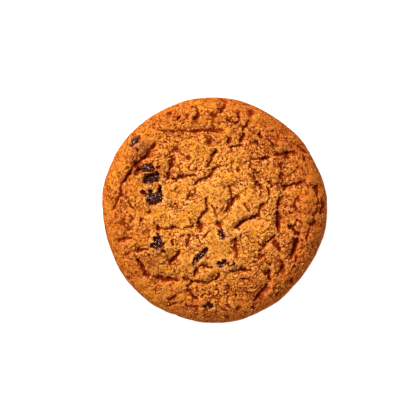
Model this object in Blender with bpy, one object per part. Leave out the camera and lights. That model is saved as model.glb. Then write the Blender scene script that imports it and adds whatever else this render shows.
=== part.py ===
"""Lemon raisin cookie: a round of browned dough, cracked and lumpy on top, flat below, with raisins set in it.

Frame: metres, +Z up, origin under the centre of the outline, on the flat base. +Y is the top of the
photograph and +X its right. The tables below are in millimetres and MM turns them into metres.
"""

import math

import bmesh
import bpy
import numpy as np
from mathutils import Matrix, Vector, noise

MM = 0.001

# The round of dough
MEAN_RADIUS = 42.3
CENTRE_HEIGHT = 12.0
SHOULDER_RADIUS = 33.0
SHOULDER_HEIGHT = 10.2
DOME_POWER = 2.4
WAIST_HEIGHT = 3.6
BASE_RADIUS = 39.4
PROFILE_STEPS = 48
BASE_DENSITY = 0.10

# How far the outline strays from a circle: (waves round it, size, phase in degrees)
OUTLINE_WAVES = [
    (2, 0.10, 131.0),
    (3, 0.30, -43.0),
    (4, 0.18, 11.0),
    (5, 0.20, -34.0),
    (6, 0.10, 81.0),
    (8, 0.10, 28.0),
    (11, 0.09, -87.0),
    (12, 0.07, -135.0),
    (16, 0.08, 152.0),
]

# Lumps of the dough: (size of one lump, height)
LUMPS = [
    (13.0, 0.60),
    (5.2, 0.60),
    (2.6, 0.30),
]
CREASE_LEVEL = 0.45
LUMP_SEED = Vector((3.7, 9.1, 2.3))
WANDER_SIZE = 3.4
WANDER_REACH = 0.75
RELIEF_FADE_LOW = 0.5
RELIEF_FADE_HIGH = 3.0
SIDE_CALM = 0.68
SWELL_CALM = 0.55

# Smooth swells: (x, y, half length, half width, height)
SWELLS = [
    (-23.4, -20.4, 5.0, 4.6, 0.9),
    (34.5, 2.0, 4.6, 7.0, 1.3),
    (-10.6, -19.2, 3.6, 4.2, 0.9),
    (-27.6, 12.0, 2.2, 3.0, 0.7),
    (-26.8, 23.7, 3.2, 3.2, 0.7),
    (-4.2, -24.6, 4.6, 2.2, 0.6),
    (1.1, 6.8, 5.0, 4.6, 0.7),
    (10.1, -1.5, 4.4, 2.8, 0.6),
    (1.8, -14.6, 4.6, 3.4, 0.6),
    (-18.2, -32.6, 3.2, 2.6, 0.6),
    (16.3, 34.4, 3.4, 2.6, 0.6),
]

# Cracks: (x and y of one end, x and y of the other, sideways bend, half width, depth)
CRACKS = [
    (-21.2, 26.4, -26.5, 18.8, 0.4, 0.80, 1.7),
    (-26.5, 18.8, -32.9, 11.7, -0.4, 0.85, 1.7),
    (-34.4, 8.3, -38.1, 1.1, -0.2, 0.70, 1.2),
    (-20.1, 30.1, -8.7, 29.0, -0.4, 0.62, 0.9),
    (-8.7, 29.0, 3.7, 29.4, 0.3, 0.66, 1.1),
    (-15.9, 19.9, -17.8, 10.9, -0.6, 0.66, 1.3),
    (13.5, 34.6, 10.9, 25.6, 0.2, 0.66, 1.1),
    (1.4, 23.0, -2.7, 15.8, 0.2, 0.75, 1.4),
    (2.2, 16.9, -1.6, 12.4, -0.3, 0.80, 1.5),
    (-1.6, 12.4, -6.9, 10.5, -0.5, 0.66, 1.2),
    (-12.5, 12.8, -7.2, 13.2, 0.1, 0.70, 1.1),
    (14.2, 19.6, 22.2, 20.3, -0.6, 0.66, 1.0),
    (22.2, 20.3, 30.8, 21.8, 0.3, 0.70, 1.2),
    (-2.7, 5.2, -2.0, -0.8, 0.2, 0.60, 1.0),
    (-2.0, -0.8, -5.4, -3.8, -0.5, 0.70, 1.2),
    (-5.4, -3.8, -5.0, -7.6, 0.1, 0.85, 1.6),
    (7.5, -7.6, 13.1, -3.4, 0.3, 0.75, 1.7),
    (13.1, -3.4, 17.3, -1.9, -0.3, 0.75, 1.4),
    (17.3, -1.9, 19.5, 2.2, 0.7, 0.60, 1.1),
    (9.7, 6.4, 4.4, 0.3, 0.7, 0.66, 1.1),
    (25.9, 3.4, 24.0, -0.4, 0.4, 0.80, 1.5),
    (24.0, -0.4, 24.4, -8.0, 0.2, 1.00, 2.0),
    (23.3, -8.7, 19.5, -12.1, 0.4, 0.75, 1.4),
    (19.5, -12.1, 18.0, -15.5, 0.3, 0.66, 1.2),
    (14.6, 14.7, 18.0, 7.5, 0.3, 0.66, 1.0),
    (25.2, 7.9, 33.5, 10.5, -0.3, 0.75, 1.3),
    (40.3, 4.1, 38.0, -5.3, 0.8, 0.80, 1.5),
    (28.9, -5.7, 32.0, -10.2, -0.3, 0.62, 1.1),
    (32.0, -10.2, 29.7, -17.4, 0.4, 1.00, 2.0),
    (26.7, -18.1, 25.6, -24.5, 0.6, 0.80, 1.4),
    (19.9, -23.4, 21.0, -27.6, -0.5, 0.70, 1.3),
    (21.0, -27.6, 16.1, -34.3, 0.3, 0.90, 1.8),
    (-28.7, -17.8, -24.2, -25.3, -0.3, 0.80, 1.6),
    (-23.1, -25.7, -13.3, -26.4, 0.3, 0.75, 1.3),
    (-13.3, -15.5, -17.0, -20.8, 0.3, 0.90, 1.7),
    (-11.8, -25.7, -2.0, -27.6, -0.5, 0.62, 0.9),
    (-2.0, -27.6, 2.6, -23.8, -0.2, 0.66, 1.2),
    (-8.0, -27.2, -6.5, -34.0, -0.6, 0.66, 1.1),
    (7.8, -10.6, 8.6, -18.5, 0.3, 0.60, 1.0),
    (-21.9, -7.2, -14.0, -6.8, -0.2, 0.60, 0.9),
    (-30.2, -2.3, -31.4, -5.7, 0.5, 0.60, 1.0),
    (-36.6, -12.9, -33.2, -9.8, 0.2, 0.66, 1.0),
    (-14.4, -31.7, -17.0, -34.3, 0.2, 0.70, 1.1),
    (3.7, 39.9, 2.9, 36.2, -0.4, 0.62, 0.9),
]
CRACK_STEPS = 9
CRACK_END_WIDTH = 0.55
CRACK_TAPER_LOW = -0.12
CRACK_TAPER_HIGH = 0.16

# A crack's own relief: shares of its depth, and reaches in half widths
CRACK_CORE_REACH = 1.5
CRACK_VALLEY = 0.30
CRACK_VALLEY_REACH = 2.6
CRACK_LIP = 0.07
CRACK_LIP_REACH = 3.6

# The ditch beside each crack, which rounds off the plates of crust: reach in millimetres, share of the depth
DITCH_REACH = 2.9
DITCH_DEPTH = 0.62

# Pits: (x, y, radius, depth)
PITS = [
    (-20.8, 16.2, 0.9, 1.2),
    (-14.0, 23.3, 1.2, 1.3),
    (-1.2, 24.8, 1.1, 1.1),
    (-0.1, 35.4, 1.0, 0.9),
    (-6.5, 34.6, 1.1, 0.9),
    (13.9, 36.2, 1.0, 0.9),
    (27.4, 20.7, 1.3, 1.6),
    (32.3, 1.8, 1.9, 1.2),
    (2.2, -4.9, 1.1, 1.1),
    (-24.2, -0.8, 0.9, 0.9),
    (18.0, -17.4, 1.0, 1.0),
    (9.3, 15.0, 0.9, 0.8),
]

# Raisins: (name, x, y, length, width, thickness, turn in degrees, how deep its middle sits)
RAISINS = [
    ("raisin_rim", -29.4, 25.8, 6.2, 4.6, 3.6, 25.0, 1.3),
    ("raisin_bank_upper", -24.9, 15.3, 6.4, 3.2, 3.2, -10.0, 1.2),
    ("raisin_bank_lower", -23.0, 11.1, 7.2, 4.4, 4.0, 12.0, 1.6),
    ("raisin_large", -22.2, 4.5, 8.4, 6.8, 4.8, -8.0, 2.0),
    ("raisin_west", -20.9, -13.1, 6.6, 5.8, 4.4, 75.0, 1.9),
    ("raisin_strip", -5.1, -17.6, 7.8, 3.4, 3.2, 43.0, 1.4),
    ("raisin_south_centre", 4.5, -20.2, 7.8, 4.4, 3.6, 4.0, 1.6),
    ("raisin_small_centre", 3.2, -9.4, 4.0, 3.2, 2.8, 70.0, 1.2),
    ("raisin_south_rim", -2.1, -36.2, 4.8, 3.4, 2.8, 8.0, 1.2),
]
RAISIN_DETAIL = 3
WRINKLE_SIZE = 1.9
WRINKLE_DEPTH = 0.42
POCKET_GAP = 0.30
POCKET_LIP_HEIGHT = 0.35

# Reaches round a raisin, as shares of its half size
POCKET_LIP_REACH = 1.25
POCKET_LIP_WIDTH = 0.22
POCKET_DISH = 0.9
POCKET_DISH_EDGE = 1.05
POCKET_DISH_FLOOR = 0.75
CREASE_FLOOR = 0.7
SEAT_STEP = 0.5

# Mesh sizes
DOUGH_DETAIL = 7
DOUGH_KEPT = 0.094

COLOURS = {
    "cookie": ((0.55, 0.20, 0.045, 1.0), 0.78),
    "raisin": ((0.035, 0.012, 0.010, 1.0), 0.38),
}


def material(name):
    """A Principled material with the colour and roughness of one kind of piece."""
    colour, roughness = COLOURS[name]
    made = bpy.data.materials.new(name + "_surface")
    made.use_nodes = True
    shader = made.node_tree.nodes["Principled BSDF"]
    shader.inputs["Base Color"].default_value = colour
    shader.inputs["Roughness"].default_value = roughness
    shader.inputs["Metallic"].default_value = 0.0
    made.diffuse_color = colour
    return made


def section():
    """Half section of the dough, as radii and heights from the middle of the top to the middle of the base."""
    share = np.linspace(0.0, 1.0, PROFILE_STEPS)
    quarter = share[1:] * math.pi / 2
    top_r = SHOULDER_RADIUS * share
    top_z = CENTRE_HEIGHT - (CENTRE_HEIGHT - SHOULDER_HEIGHT) * share**DOME_POWER
    side_r = SHOULDER_RADIUS + (MEAN_RADIUS - SHOULDER_RADIUS) * np.sin(quarter)
    side_z = WAIST_HEIGHT + (SHOULDER_HEIGHT - WAIST_HEIGHT) * np.cos(quarter)
    heel_r = BASE_RADIUS + (MEAN_RADIUS - BASE_RADIUS) * np.cos(quarter)
    heel_z = WAIST_HEIGHT * (1.0 - np.sin(quarter))
    base_r = BASE_RADIUS * (1.0 - share[1:])
    base_z = np.zeros(PROFILE_STEPS - 1)
    radii = np.concatenate([top_r, side_r, heel_r, base_r])
    heights = np.concatenate([top_z, side_z, heel_z, base_z])
    return radii, heights


def spread(radii, heights):
    """How much of a sphere each point of the section takes, so that the primitive's points lie evenly."""
    middle = (radii[1:] + radii[:-1]) / 2
    step = np.hypot(np.diff(radii), np.diff(heights))
    area = middle * step
    on_base = (heights[1:] + heights[:-1]) < 1e-9
    area[on_base] *= BASE_DENSITY
    total = np.concatenate([[0.0], np.cumsum(area)])
    return total / total[-1]


def outline_radius(angle):
    """Share of the mean radius at which the outline lies in this direction."""
    stray = np.zeros_like(angle)
    for waves, size, phase in OUTLINE_WAVES:
        stray += size * np.cos(waves * angle + math.radians(phase))
    return 1.0 + stray / MEAN_RADIUS


def smooth_step(value, low, high):
    """0 below low, 1 above high, and a smooth ramp between them."""
    share = np.clip((value - low) / (high - low), 0.0, 1.0)
    return share * share * (3.0 - 2.0 * share)


def noise_at(points, size, seed):
    """One value of smooth noise at each point, for lumps of this size."""
    return np.array([noise.noise(Vector(point) / size + seed) for point in points])


def lumps(points):
    """Rounded lumps with creases between them, in three sizes, the widest of them a plain swell."""
    (wide, wide_height), *finer = LUMPS
    height = noise_at(points, wide, LUMP_SEED) * wide_height
    for order, (size, rise) in enumerate(finer, start=1):
        seed = LUMP_SEED * (order + 1)
        height += (np.abs(noise_at(points, size, seed)) * 2.0 - CREASE_LEVEL) * rise
    return height


def crack_line(row):
    """Points along one crack: a straight run bent sideways into a bow."""
    x0, y0, x1, y1, bend = row[:5]
    share = np.linspace(0.0, 1.0, CRACK_STEPS)
    length = math.hypot(x1 - x0, y1 - y0)
    side = np.array([-(y1 - y0), x1 - x0]) / length
    bow = 4.0 * share * (1.0 - share) * bend
    run = np.outer(1.0 - share, [x0, y0]) + np.outer(share, [x1, y1])
    return run + np.outer(bow, side)


def crack_relief(plan, row):
    """Height that one crack adds at each plan point, with its edges a little raised, and its ditch's depth."""
    half_width, depth = row[5:]
    line = crack_line(row)
    near = np.full(len(plan), 1e9)
    where = np.zeros(len(plan))
    for index in range(CRACK_STEPS - 1):
        start = line[index]
        along = line[index + 1] - start
        share = np.clip((plan - start) @ along / (along @ along), 0.0, 1.0)
        away = np.hypot(*(plan - start - np.outer(share, along)).T)
        closer = away < near
        near[closer] = away[closer]
        where[closer] = (index + share[closer]) / (CRACK_STEPS - 1)
    taper = smooth_step(np.minimum(where, 1.0 - where), CRACK_TAPER_LOW, CRACK_TAPER_HIGH)
    wide = half_width * (CRACK_END_WIDTH + (1.0 - CRACK_END_WIDTH) * taper)
    core = (1.0 - CRACK_VALLEY) * np.clip(1.0 - near / (CRACK_CORE_REACH * wide), 0.0, 1.0)
    valley = CRACK_VALLEY * np.exp(-((near / (CRACK_VALLEY_REACH * wide)) ** 2))
    lip = CRACK_LIP * np.exp(-(((near - CRACK_LIP_REACH * wide) / wide) ** 2))
    ditch = DITCH_DEPTH * np.exp(-((near / DITCH_REACH) ** 2))
    return depth * taper * (lip - core - valley), depth * taper * ditch


def relief(points):
    """Height of the dough above its plain form at each point, in millimetres."""
    height = lumps(points)
    wander_x = noise_at(points, WANDER_SIZE, LUMP_SEED * 5.0)
    wander_y = noise_at(points, WANDER_SIZE, LUMP_SEED * 7.0)
    plan = points[:, :2] + WANDER_REACH * np.stack([wander_x, wander_y], axis=1)
    for x, y, half_x, half_y, rise in SWELLS:
        off = ((plan[:, 0] - x) / half_x) ** 2 + ((plan[:, 1] - y) / half_y) ** 2
        calm = np.exp(-off)
        height = height * (1.0 - SWELL_CALM * calm) + rise * calm
    deepest = np.zeros(len(points))
    for row in CRACKS:
        rise, ditch = crack_relief(plan, row)
        height += rise
        deepest = np.maximum(deepest, ditch)
    height -= deepest
    for x, y, radius, depth in PITS:
        off = np.hypot(plan[:, 0] - x, plan[:, 1] - y) / radius
        height -= depth * np.exp(-(off**2))
    for _, x, y, length, width, _, turn, _ in RAISINS:
        around = raisin_reach(points[:, :2], x, y, length, width, turn)
        height += POCKET_LIP_HEIGHT * np.exp(-(((around - POCKET_LIP_REACH) / POCKET_LIP_WIDTH) ** 2))
        height -= POCKET_DISH * smooth_step(around, POCKET_DISH_EDGE, POCKET_DISH_FLOOR)
    return height


def raisin_reach(plan, x, y, length, width, turn):
    """Distance from a raisin's middle in plan, as a share of its half size."""
    angle = math.radians(turn)
    dx = plan[:, 0] - x
    dy = plan[:, 1] - y
    along = dx * math.cos(angle) + dy * math.sin(angle)
    across = dy * math.cos(angle) - dx * math.sin(angle)
    return np.hypot(along * 2.0 / length, across * 2.0 / width)


def cookie(collection):
    """The dough: a sphere's points laid out over the section and outline, pushed in and out by the relief."""
    radii, heights = section()
    share = spread(radii, heights)
    form = bmesh.new()
    bmesh.ops.create_icosphere(form, subdivisions=DOUGH_DETAIL, radius=1.0)
    ball = np.array([vertex.co for vertex in form.verts])
    down = (1.0 - ball[:, 2] / np.linalg.norm(ball, axis=1)) / 2
    angle = np.arctan2(ball[:, 1], ball[:, 0])
    radius = np.interp(down, share, radii)
    height = np.interp(down, share, heights)
    slope_r = np.interp(down, share, np.gradient(radii, share))
    slope_z = np.interp(down, share, np.gradient(heights, share))
    steep = np.hypot(slope_r, slope_z) + 1e-12
    plan = radius * outline_radius(angle)
    points = np.stack([plan * np.cos(angle), plan * np.sin(angle), height], axis=1)
    push = relief(points) * smooth_step(height, RELIEF_FADE_LOW, RELIEF_FADE_HIGH)
    outward = -slope_z / steep
    push *= 1.0 - SIDE_CALM * np.clip(outward, 0.0, 1.0)
    points[:, 0] += np.cos(angle) * outward * push
    points[:, 1] += np.sin(angle) * outward * push
    points[:, 2] += slope_r / steep * push
    points[:, 2] = np.maximum(points[:, 2], 0.0)
    for vertex, point in zip(form.verts, points):
        vertex.co = Vector(point) * MM
    bmesh.ops.recalc_face_normals(form, faces=form.faces)
    mesh = bpy.data.meshes.new("cookie")
    form.to_mesh(mesh)
    form.free()
    made = bpy.data.objects.new("cookie", mesh)
    made.data.materials.append(material("cookie"))
    collection.objects.link(made)
    fewer = made.modifiers.new("fewer_faces", "DECIMATE")
    fewer.ratio = DOUGH_KEPT
    return made


def seat(x, y):
    """Point of the plain section above this plan place, and the direction square to it."""
    radii, heights = section()
    top = PROFILE_STEPS * 2 - 1
    angle = math.atan2(y, x)
    away = math.hypot(x, y) / float(outline_radius(np.array([angle]))[0])
    height = float(np.interp(away, radii[:top], heights[:top]))
    below = float(np.interp(away + SEAT_STEP, radii[:top], heights[:top]))
    lean = Vector((height - below, 0.0, SEAT_STEP)).normalized()
    lean.rotate(Matrix.Rotation(angle, 3, "Z"))
    return Vector((x, y, height)), lean


def raisin_form(row, grown):
    """A wrinkled, slightly flattened raisin laid into the dough. A pocket's cutter is the same form, grown."""
    _, x, y, length, width, thickness, turn, depth = row
    place, lean = seat(x, y)
    half = Vector((length / 2, width / 2, thickness / 2))
    form = bmesh.new()
    bmesh.ops.create_icosphere(form, subdivisions=RAISIN_DETAIL, radius=1.0)
    seed = Vector((x, y, length))
    for vertex in form.verts:
        out = vertex.co.normalized()
        point = Vector((out.x * half.x, out.y * half.y, out.z * half.z))
        square = Vector((out.x / half.x, out.y / half.y, out.z / half.z)).normalized()
        crease = abs(noise.noise(point / WRINKLE_SIZE + seed))
        point += square * (WRINKLE_DEPTH * (crease * 2.0 - CREASE_FLOOR) + grown)
        vertex.co = point
    spin = Matrix.Rotation(math.radians(turn), 4, "Z")
    tilt = Vector((0.0, 0.0, 1.0)).rotation_difference(lean).to_matrix().to_4x4()
    move = Matrix.Translation(place - lean * depth)
    bmesh.ops.transform(form, matrix=Matrix.Scale(MM, 4) @ move @ tilt @ spin, verts=form.verts)
    bmesh.ops.recalc_face_normals(form, faces=form.faces)
    return form


def raisin(row, collection, surface):
    """One raisin as its own solid."""
    form = raisin_form(row, 0.0)
    mesh = bpy.data.meshes.new(row[0])
    form.to_mesh(mesh)
    form.free()
    made = bpy.data.objects.new(row[0], mesh)
    made.data.materials.append(surface)
    collection.objects.link(made)
    return made


def pocket(row, collection):
    """The cutter that leaves a raisin's pocket in the dough."""
    form = raisin_form(row, POCKET_GAP)
    mesh = bpy.data.meshes.new(row[0] + "_pocket")
    form.to_mesh(mesh)
    form.free()
    made = bpy.data.objects.new(row[0] + "_pocket", mesh)
    made.hide_render = True
    made.display_type = "WIRE"
    collection.objects.link(made)
    return made


def centre(objects):
    """Moves every mesh alike, so that the dough's outline is centred on the origin."""
    dough = objects[0].data
    flat = np.array([vertex.co for vertex in dough.vertices])
    middle = (flat.min(axis=0) + flat.max(axis=0)) / 2
    shift = Matrix.Translation((-middle[0], -middle[1], 0.0))
    for item in objects:
        item.data.transform(shift)


def main():
    for item in list(bpy.data.objects):
        bpy.data.objects.remove(item, do_unlink=True)
    parts = bpy.data.collections.new("lemon_raisin_cookie")
    cutters = bpy.data.collections.new("cutters")
    bpy.context.scene.collection.children.link(parts)
    bpy.context.scene.collection.children.link(cutters)
    dough = cookie(parts)
    surface = material("raisin")
    pieces = [dough]
    for row in RAISINS:
        pieces.append(raisin(row, parts, surface))
        cutter = pocket(row, cutters)
        pieces.append(cutter)
        cut = dough.modifiers.new("cut_" + cutter.name, "BOOLEAN")
        cut.operation = "DIFFERENCE"
        cut.solver = "EXACT"
        cut.object = cutter
    centre(pieces)


main()
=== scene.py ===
# %% [markdown]
# A lemon raisin cookie, seen from straight above.
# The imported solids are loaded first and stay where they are. The dough and the raisins
# then get finer meshes of the same shape, because a crumbly crust needs far more points
# than a solid for physics does.

# %% Load the frame
import math

import bpy
import numpy as np
from mathutils import Matrix, Vector, noise


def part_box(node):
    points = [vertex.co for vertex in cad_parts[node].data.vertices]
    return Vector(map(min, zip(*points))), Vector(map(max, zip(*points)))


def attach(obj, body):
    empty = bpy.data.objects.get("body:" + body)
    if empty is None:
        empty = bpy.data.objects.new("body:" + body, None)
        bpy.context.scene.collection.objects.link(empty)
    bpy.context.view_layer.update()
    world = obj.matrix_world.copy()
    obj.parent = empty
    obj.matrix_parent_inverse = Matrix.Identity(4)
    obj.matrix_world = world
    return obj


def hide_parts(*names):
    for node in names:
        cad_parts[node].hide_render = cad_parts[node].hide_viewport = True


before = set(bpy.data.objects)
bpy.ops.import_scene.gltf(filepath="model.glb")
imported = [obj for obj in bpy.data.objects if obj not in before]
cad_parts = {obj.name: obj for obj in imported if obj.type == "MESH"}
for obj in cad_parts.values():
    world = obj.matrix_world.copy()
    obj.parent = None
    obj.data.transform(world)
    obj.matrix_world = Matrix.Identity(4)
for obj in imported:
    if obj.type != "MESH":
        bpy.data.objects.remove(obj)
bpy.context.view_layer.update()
print("solids", sorted(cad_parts))

# %% [markdown]
# Lengths in the tables below are in millimetres, as a baker would measure them, and MM
# turns them into Blender's metres. An operator acts on all that is selected, so one
# helper leaves a single object selected. The others are the sums that a crust needs
# again and again: a soft step, a soft spot, smooth noise and distances seen from above.

# %% Units and small helpers
MM = 0.001
FAR = 1e9


def select_only(item):
    """Leaves this object as the only one selected, and active."""
    bpy.ops.object.select_all(action="DESELECT")
    item.select_set(True)
    bpy.context.view_layer.objects.active = item


def smooth_step(value, low, high):
    """0 below low, 1 above high, and a smooth ramp between them."""
    share = np.clip((value - low) / (high - low), 0.0, 1.0)
    return share * share * (3.0 - 2.0 * share)


def bell(value):
    """1 at zero, falling smoothly to nothing on either side."""
    return np.exp(-(value**2))


def noise_at(points, size, seed):
    """One value of smooth noise at each point, for lumps of this size."""
    return np.array([noise.noise(Vector(point) / size + seed) for point in points])


print("a soft step", smooth_step(np.linspace(0.0, 1.0, 5), 0.0, 1.0).round(2))
print("a soft spot", bell(np.linspace(-2.0, 2.0, 5)).round(2))

# %% Distances in plan


def distance(plan, x, y):
    """How far each plan point lies from one place."""
    return np.hypot(plan[:, 0] - x, plan[:, 1] - y)


def oval(plan, x, y, half_x, half_y):
    """0 in an oval's middle, 1 on its outline, and growing as the square beyond."""
    return ((plan[:, 0] - x) / half_x) ** 2 + ((plan[:, 1] - y) / half_y) ** 2


def run_distance(plan, start, end):
    """How far each plan point lies from a straight run, and beside what share of it."""
    along = end - start
    share = np.clip((plan - start) @ along / (along @ along), 0.0, 1.0)
    return np.hypot(*(plan - start - np.outer(share, along)).T), share


corners = np.array([[3.0, 4.0], [6.0, 8.0]])
print("two places lie", distance(corners, 0.0, 0.0), "mm from the middle")

# %% [markdown]
# The camera looks straight down, as the photographer's did. A long lens from far away
# keeps the top of the cookie and its rim at nearly the same scale. The picture is
# 420 pixels wide, and the cookie's outline is centred a few pixels right of the middle.

# %% Camera
PICTURE_WIDTH = 420.0
COOKIE_WIDTH = 85.0
COOKIE_PIXELS = 225.5
OUTLINE_CENTRE = (214.6, 210.1)
SENSOR_WIDTH = 36.0
CAMERA_HEIGHT = 800.0
WAIST_HEIGHT = 3.6
NEAREST_SEEN = 10.0

mm_to_a_pixel = COOKIE_WIDTH / COOKIE_PIXELS
picture_width = PICTURE_WIDTH * mm_to_a_pixel
lens = SENSOR_WIDTH * (CAMERA_HEIGHT - WAIST_HEIGHT) / picture_width
camera_x = (PICTURE_WIDTH / 2 - OUTLINE_CENTRE[0]) * mm_to_a_pixel
camera_y = (OUTLINE_CENTRE[1] - PICTURE_WIDTH / 2) * mm_to_a_pixel
bpy.ops.object.camera_add(location=(camera_x * MM, camera_y * MM, CAMERA_HEIGHT * MM))
camera = bpy.context.object
camera.name = "camera"
camera.data.sensor_width = SENSOR_WIDTH
camera.data.lens = lens
camera.data.clip_start = NEAREST_SEEN * MM
bpy.context.scene.camera = camera
print("lens", round(lens, 1), "mm")

# %% [markdown]
# The light is a soft window at the upper left with plenty of white all round it. The
# crumbs then have bright upper left sides, and the cracks stay dark without hard edges.
# A sun lamp would draw harder shadows than the photograph has. Standard colours are
# used, because the photograph's oranges are vivid.

# %% Light and white room
WHITE = (1.0, 1.0, 1.0, 1.0)
KEY_PLACE = (-370.0, 425.0, 530.0)
KEY_SIZE = 260.0
KEY_POWER = 9.5
KEY_COLOUR = (1.0, 0.97, 0.93)
SKY_STRENGTH = 0.50

scene = bpy.context.scene
scene.view_settings.view_transform = "Standard"
scene.view_settings.look = "None"

bpy.ops.object.light_add(type="AREA", location=[place * MM for place in KEY_PLACE])
key = bpy.context.object
key.name = "window"
key.data.shape = "DISK"
key.data.size = KEY_SIZE * MM
key.data.energy = KEY_POWER
key.data.color = KEY_COLOUR
key.rotation_euler = (-Vector(KEY_PLACE)).to_track_quat("-Z", "Y").to_euler()

world = bpy.data.worlds.new("white_room")
scene.world = world
world.use_nodes = True
background = world.node_tree.nodes["Background"]
background.inputs["Color"].default_value = WHITE
background.inputs["Strength"].default_value = SKY_STRENGTH
print("window", round(Vector(KEY_PLACE).length), "mm away,", KEY_POWER, "watts")

# %% [markdown]
# The cookie lies on white paper. The paper is only there for the picture. It lies a
# hair below the cookie's base, because two faces at one height flicker.

# %% Floor
FLOOR_SIZE = 4000.0
FLOOR_DROP = 0.05

bpy.ops.mesh.primitive_plane_add(size=FLOOR_SIZE * MM, location=(0.0, 0.0, -FLOOR_DROP * MM))
floor = bpy.context.object
floor.name = "floor"
print("floor", FLOOR_SIZE * MM, "m wide")

# %% [markdown]
# Materials are written as sums. A Wire is one output of a node, and + - * and abs() on
# it add the Math node that does the sum. It does what joining nodes by hand in the
# shader editor does, but dozens of layers stay readable.

# %% Wires


class Wire:
    """One output socket of a material's nodes."""

    def __init__(self, sheet, socket):
        self.sheet = sheet
        self.socket = socket

    def sum(self, operation, *values):
        return self.sheet.node("ShaderNodeMath", {"operation": operation}, dict(enumerate(values)))

    def __add__(self, other):
        return self.sum("ADD", self, other)

    def __radd__(self, other):
        return self.sum("ADD", other, self)

    def __sub__(self, other):
        return self.sum("SUBTRACT", self, other)

    def __rsub__(self, other):
        return self.sum("SUBTRACT", other, self)

    def __mul__(self, other):
        return self.sum("MULTIPLY", self, other)

    def __rmul__(self, other):
        return self.sum("MULTIPLY", other, self)

    def __abs__(self):
        return self.sum("ABSOLUTE", self)

    def between(self, low, high):
        """0 at low, 1 at high, with a smooth ramp."""
        settings = {"interpolation_type": "SMOOTHSTEP"}
        values = {"Value": self, "From Min": low, "From Max": high}
        return self.sheet.node("ShaderNodeMapRange", settings, values)


# %% [markdown]
# A Sheet is one material. Its node method adds any kind of node: the settings are set
# first, then the sockets get their values or links. The other methods are the few nodes
# that dough and fruit need: colours laid over each other, values painted on the mesh,
# cloudy noise and a bump.

# %% Sheets


class Sheet:
    """A new material and its Principled shader."""

    def __init__(self, name):
        self.material = bpy.data.materials.new(name)
        self.material.use_nodes = True
        self.tree = self.material.node_tree
        self.shader = self.tree.nodes["Principled BSDF"]

    def put(self, socket, value):
        """Links a wire to a socket, or sets the socket's value."""
        if isinstance(value, Wire):
            self.tree.links.new(value.socket, socket)
        else:
            socket.default_value = value

    def node(self, kind, settings=None, values=None, output=0):
        """Adds a node of any kind, and gives one of its outputs back as a wire."""
        made = self.tree.nodes.new(kind)
        for name, setting in (settings or {}).items():
            setattr(made, name, setting)
        for name, value in (values or {}).items():
            self.put(made.inputs[name], value)
        return Wire(self, made.outputs[output])

    def blend(self, share, first, second):
        """Mixes two colours."""
        return self.node("ShaderNodeMix", {"data_type": "RGBA"}, {0: share, 6: first, 7: second}, 2)

    def lay_over(self, tone, layers):
        """Lays colours over a first one, in order, each by its own share."""
        for share, colour in layers:
            tone = self.blend(share, tone, colour)
        return tone

    def painted(self, name):
        """A value that was stored at the mesh's points."""
        return self.node("ShaderNodeAttribute", {"attribute_name": name}, output=2)

    def place(self):
        """The point's own place on the object, in metres."""
        return self.node("ShaderNodeTexCoord", output=3)

    def cloud(self, scale, detail, rough):
        """Cloudy noise between 0 and 1. Scale is in waves to the metre."""
        values = {"Vector": self.place(), "Scale": scale, "Detail": detail, "Roughness": rough}
        return self.node("ShaderNodeTexNoise", values=values)

    def bump(self, height, reach, strength):
        """Tilts the light as if the surface rose and fell by up to this reach."""
        values = {"Height": height, "Distance": reach * MM, "Strength": strength}
        return self.node("ShaderNodeBump", values=values)

    def finish(self, **values):
        """Sets the shader's own sockets, and gives the material back."""
        for name, value in values.items():
            self.put(self.shader.inputs[name.replace("_", " ")], value)
        print(self.material.name, len(self.tree.nodes), "nodes")
        return self.material


# %% Putting on a material


def wear(item, material):
    """Gives a piece one material in place of what it had."""
    item.data.materials.clear()
    item.data.materials.append(material)


# %% [markdown]
# The paper glows a little as well as taking light, so that it comes out white all over
# and only the cookie's own shadow shows at its foot.

# %% Floor finish
PAPER_GREY = (0.45, 0.45, 0.45, 1.0)
PAPER_ROUGHNESS = 0.9
PAPER_GLOW = 0.85

floor_finish = Sheet("floor_paper").finish(
    Base_Color=PAPER_GREY,
    Roughness=PAPER_ROUGHNESS,
    Emission_Color=WHITE,
    Emission_Strength=PAPER_GLOW,
)
wear(floor, floor_finish)

# %% [markdown]
# The dough. Its section is a flat base, a rounded side that is widest a few millimetres
# up, and a slightly domed top. The outline strays a little from a circle. A turned
# section alone would bunch its points at the middle, so the points of a finely divided
# icosahedron are used instead: each is moved from the ball to its own share of the
# section, and they lie evenly all over. The base needs few points.

# %% Section of the dough
MEAN_RADIUS = 42.3
CENTRE_HEIGHT = 12.0
SHOULDER_RADIUS = 33.0
SHOULDER_HEIGHT = 10.2
DOME_CURVE = 2.4
BASE_RADIUS = 39.4
BASE_DENSITY = 0.16
BASE_LEVEL = 1e-9
PROFILE_STEPS = 48


def section():
    """Radii and heights from the middle of the top round to the middle of the base."""
    share = np.linspace(0.0, 1.0, PROFILE_STEPS)
    quarter = share[1:] * math.pi / 2
    top_r = SHOULDER_RADIUS * share
    top_z = CENTRE_HEIGHT - (CENTRE_HEIGHT - SHOULDER_HEIGHT) * share**DOME_CURVE
    side_r = SHOULDER_RADIUS + (MEAN_RADIUS - SHOULDER_RADIUS) * np.sin(quarter)
    side_z = WAIST_HEIGHT + (SHOULDER_HEIGHT - WAIST_HEIGHT) * np.cos(quarter)
    heel_r = BASE_RADIUS + (MEAN_RADIUS - BASE_RADIUS) * np.cos(quarter)
    heel_z = WAIST_HEIGHT * (1.0 - np.sin(quarter))
    base_r = BASE_RADIUS * (1.0 - share[1:])
    base_z = np.zeros(PROFILE_STEPS - 1)
    radii = np.concatenate([top_r, side_r, heel_r, base_r])
    heights = np.concatenate([top_z, side_z, heel_z, base_z])
    return radii, heights


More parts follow.
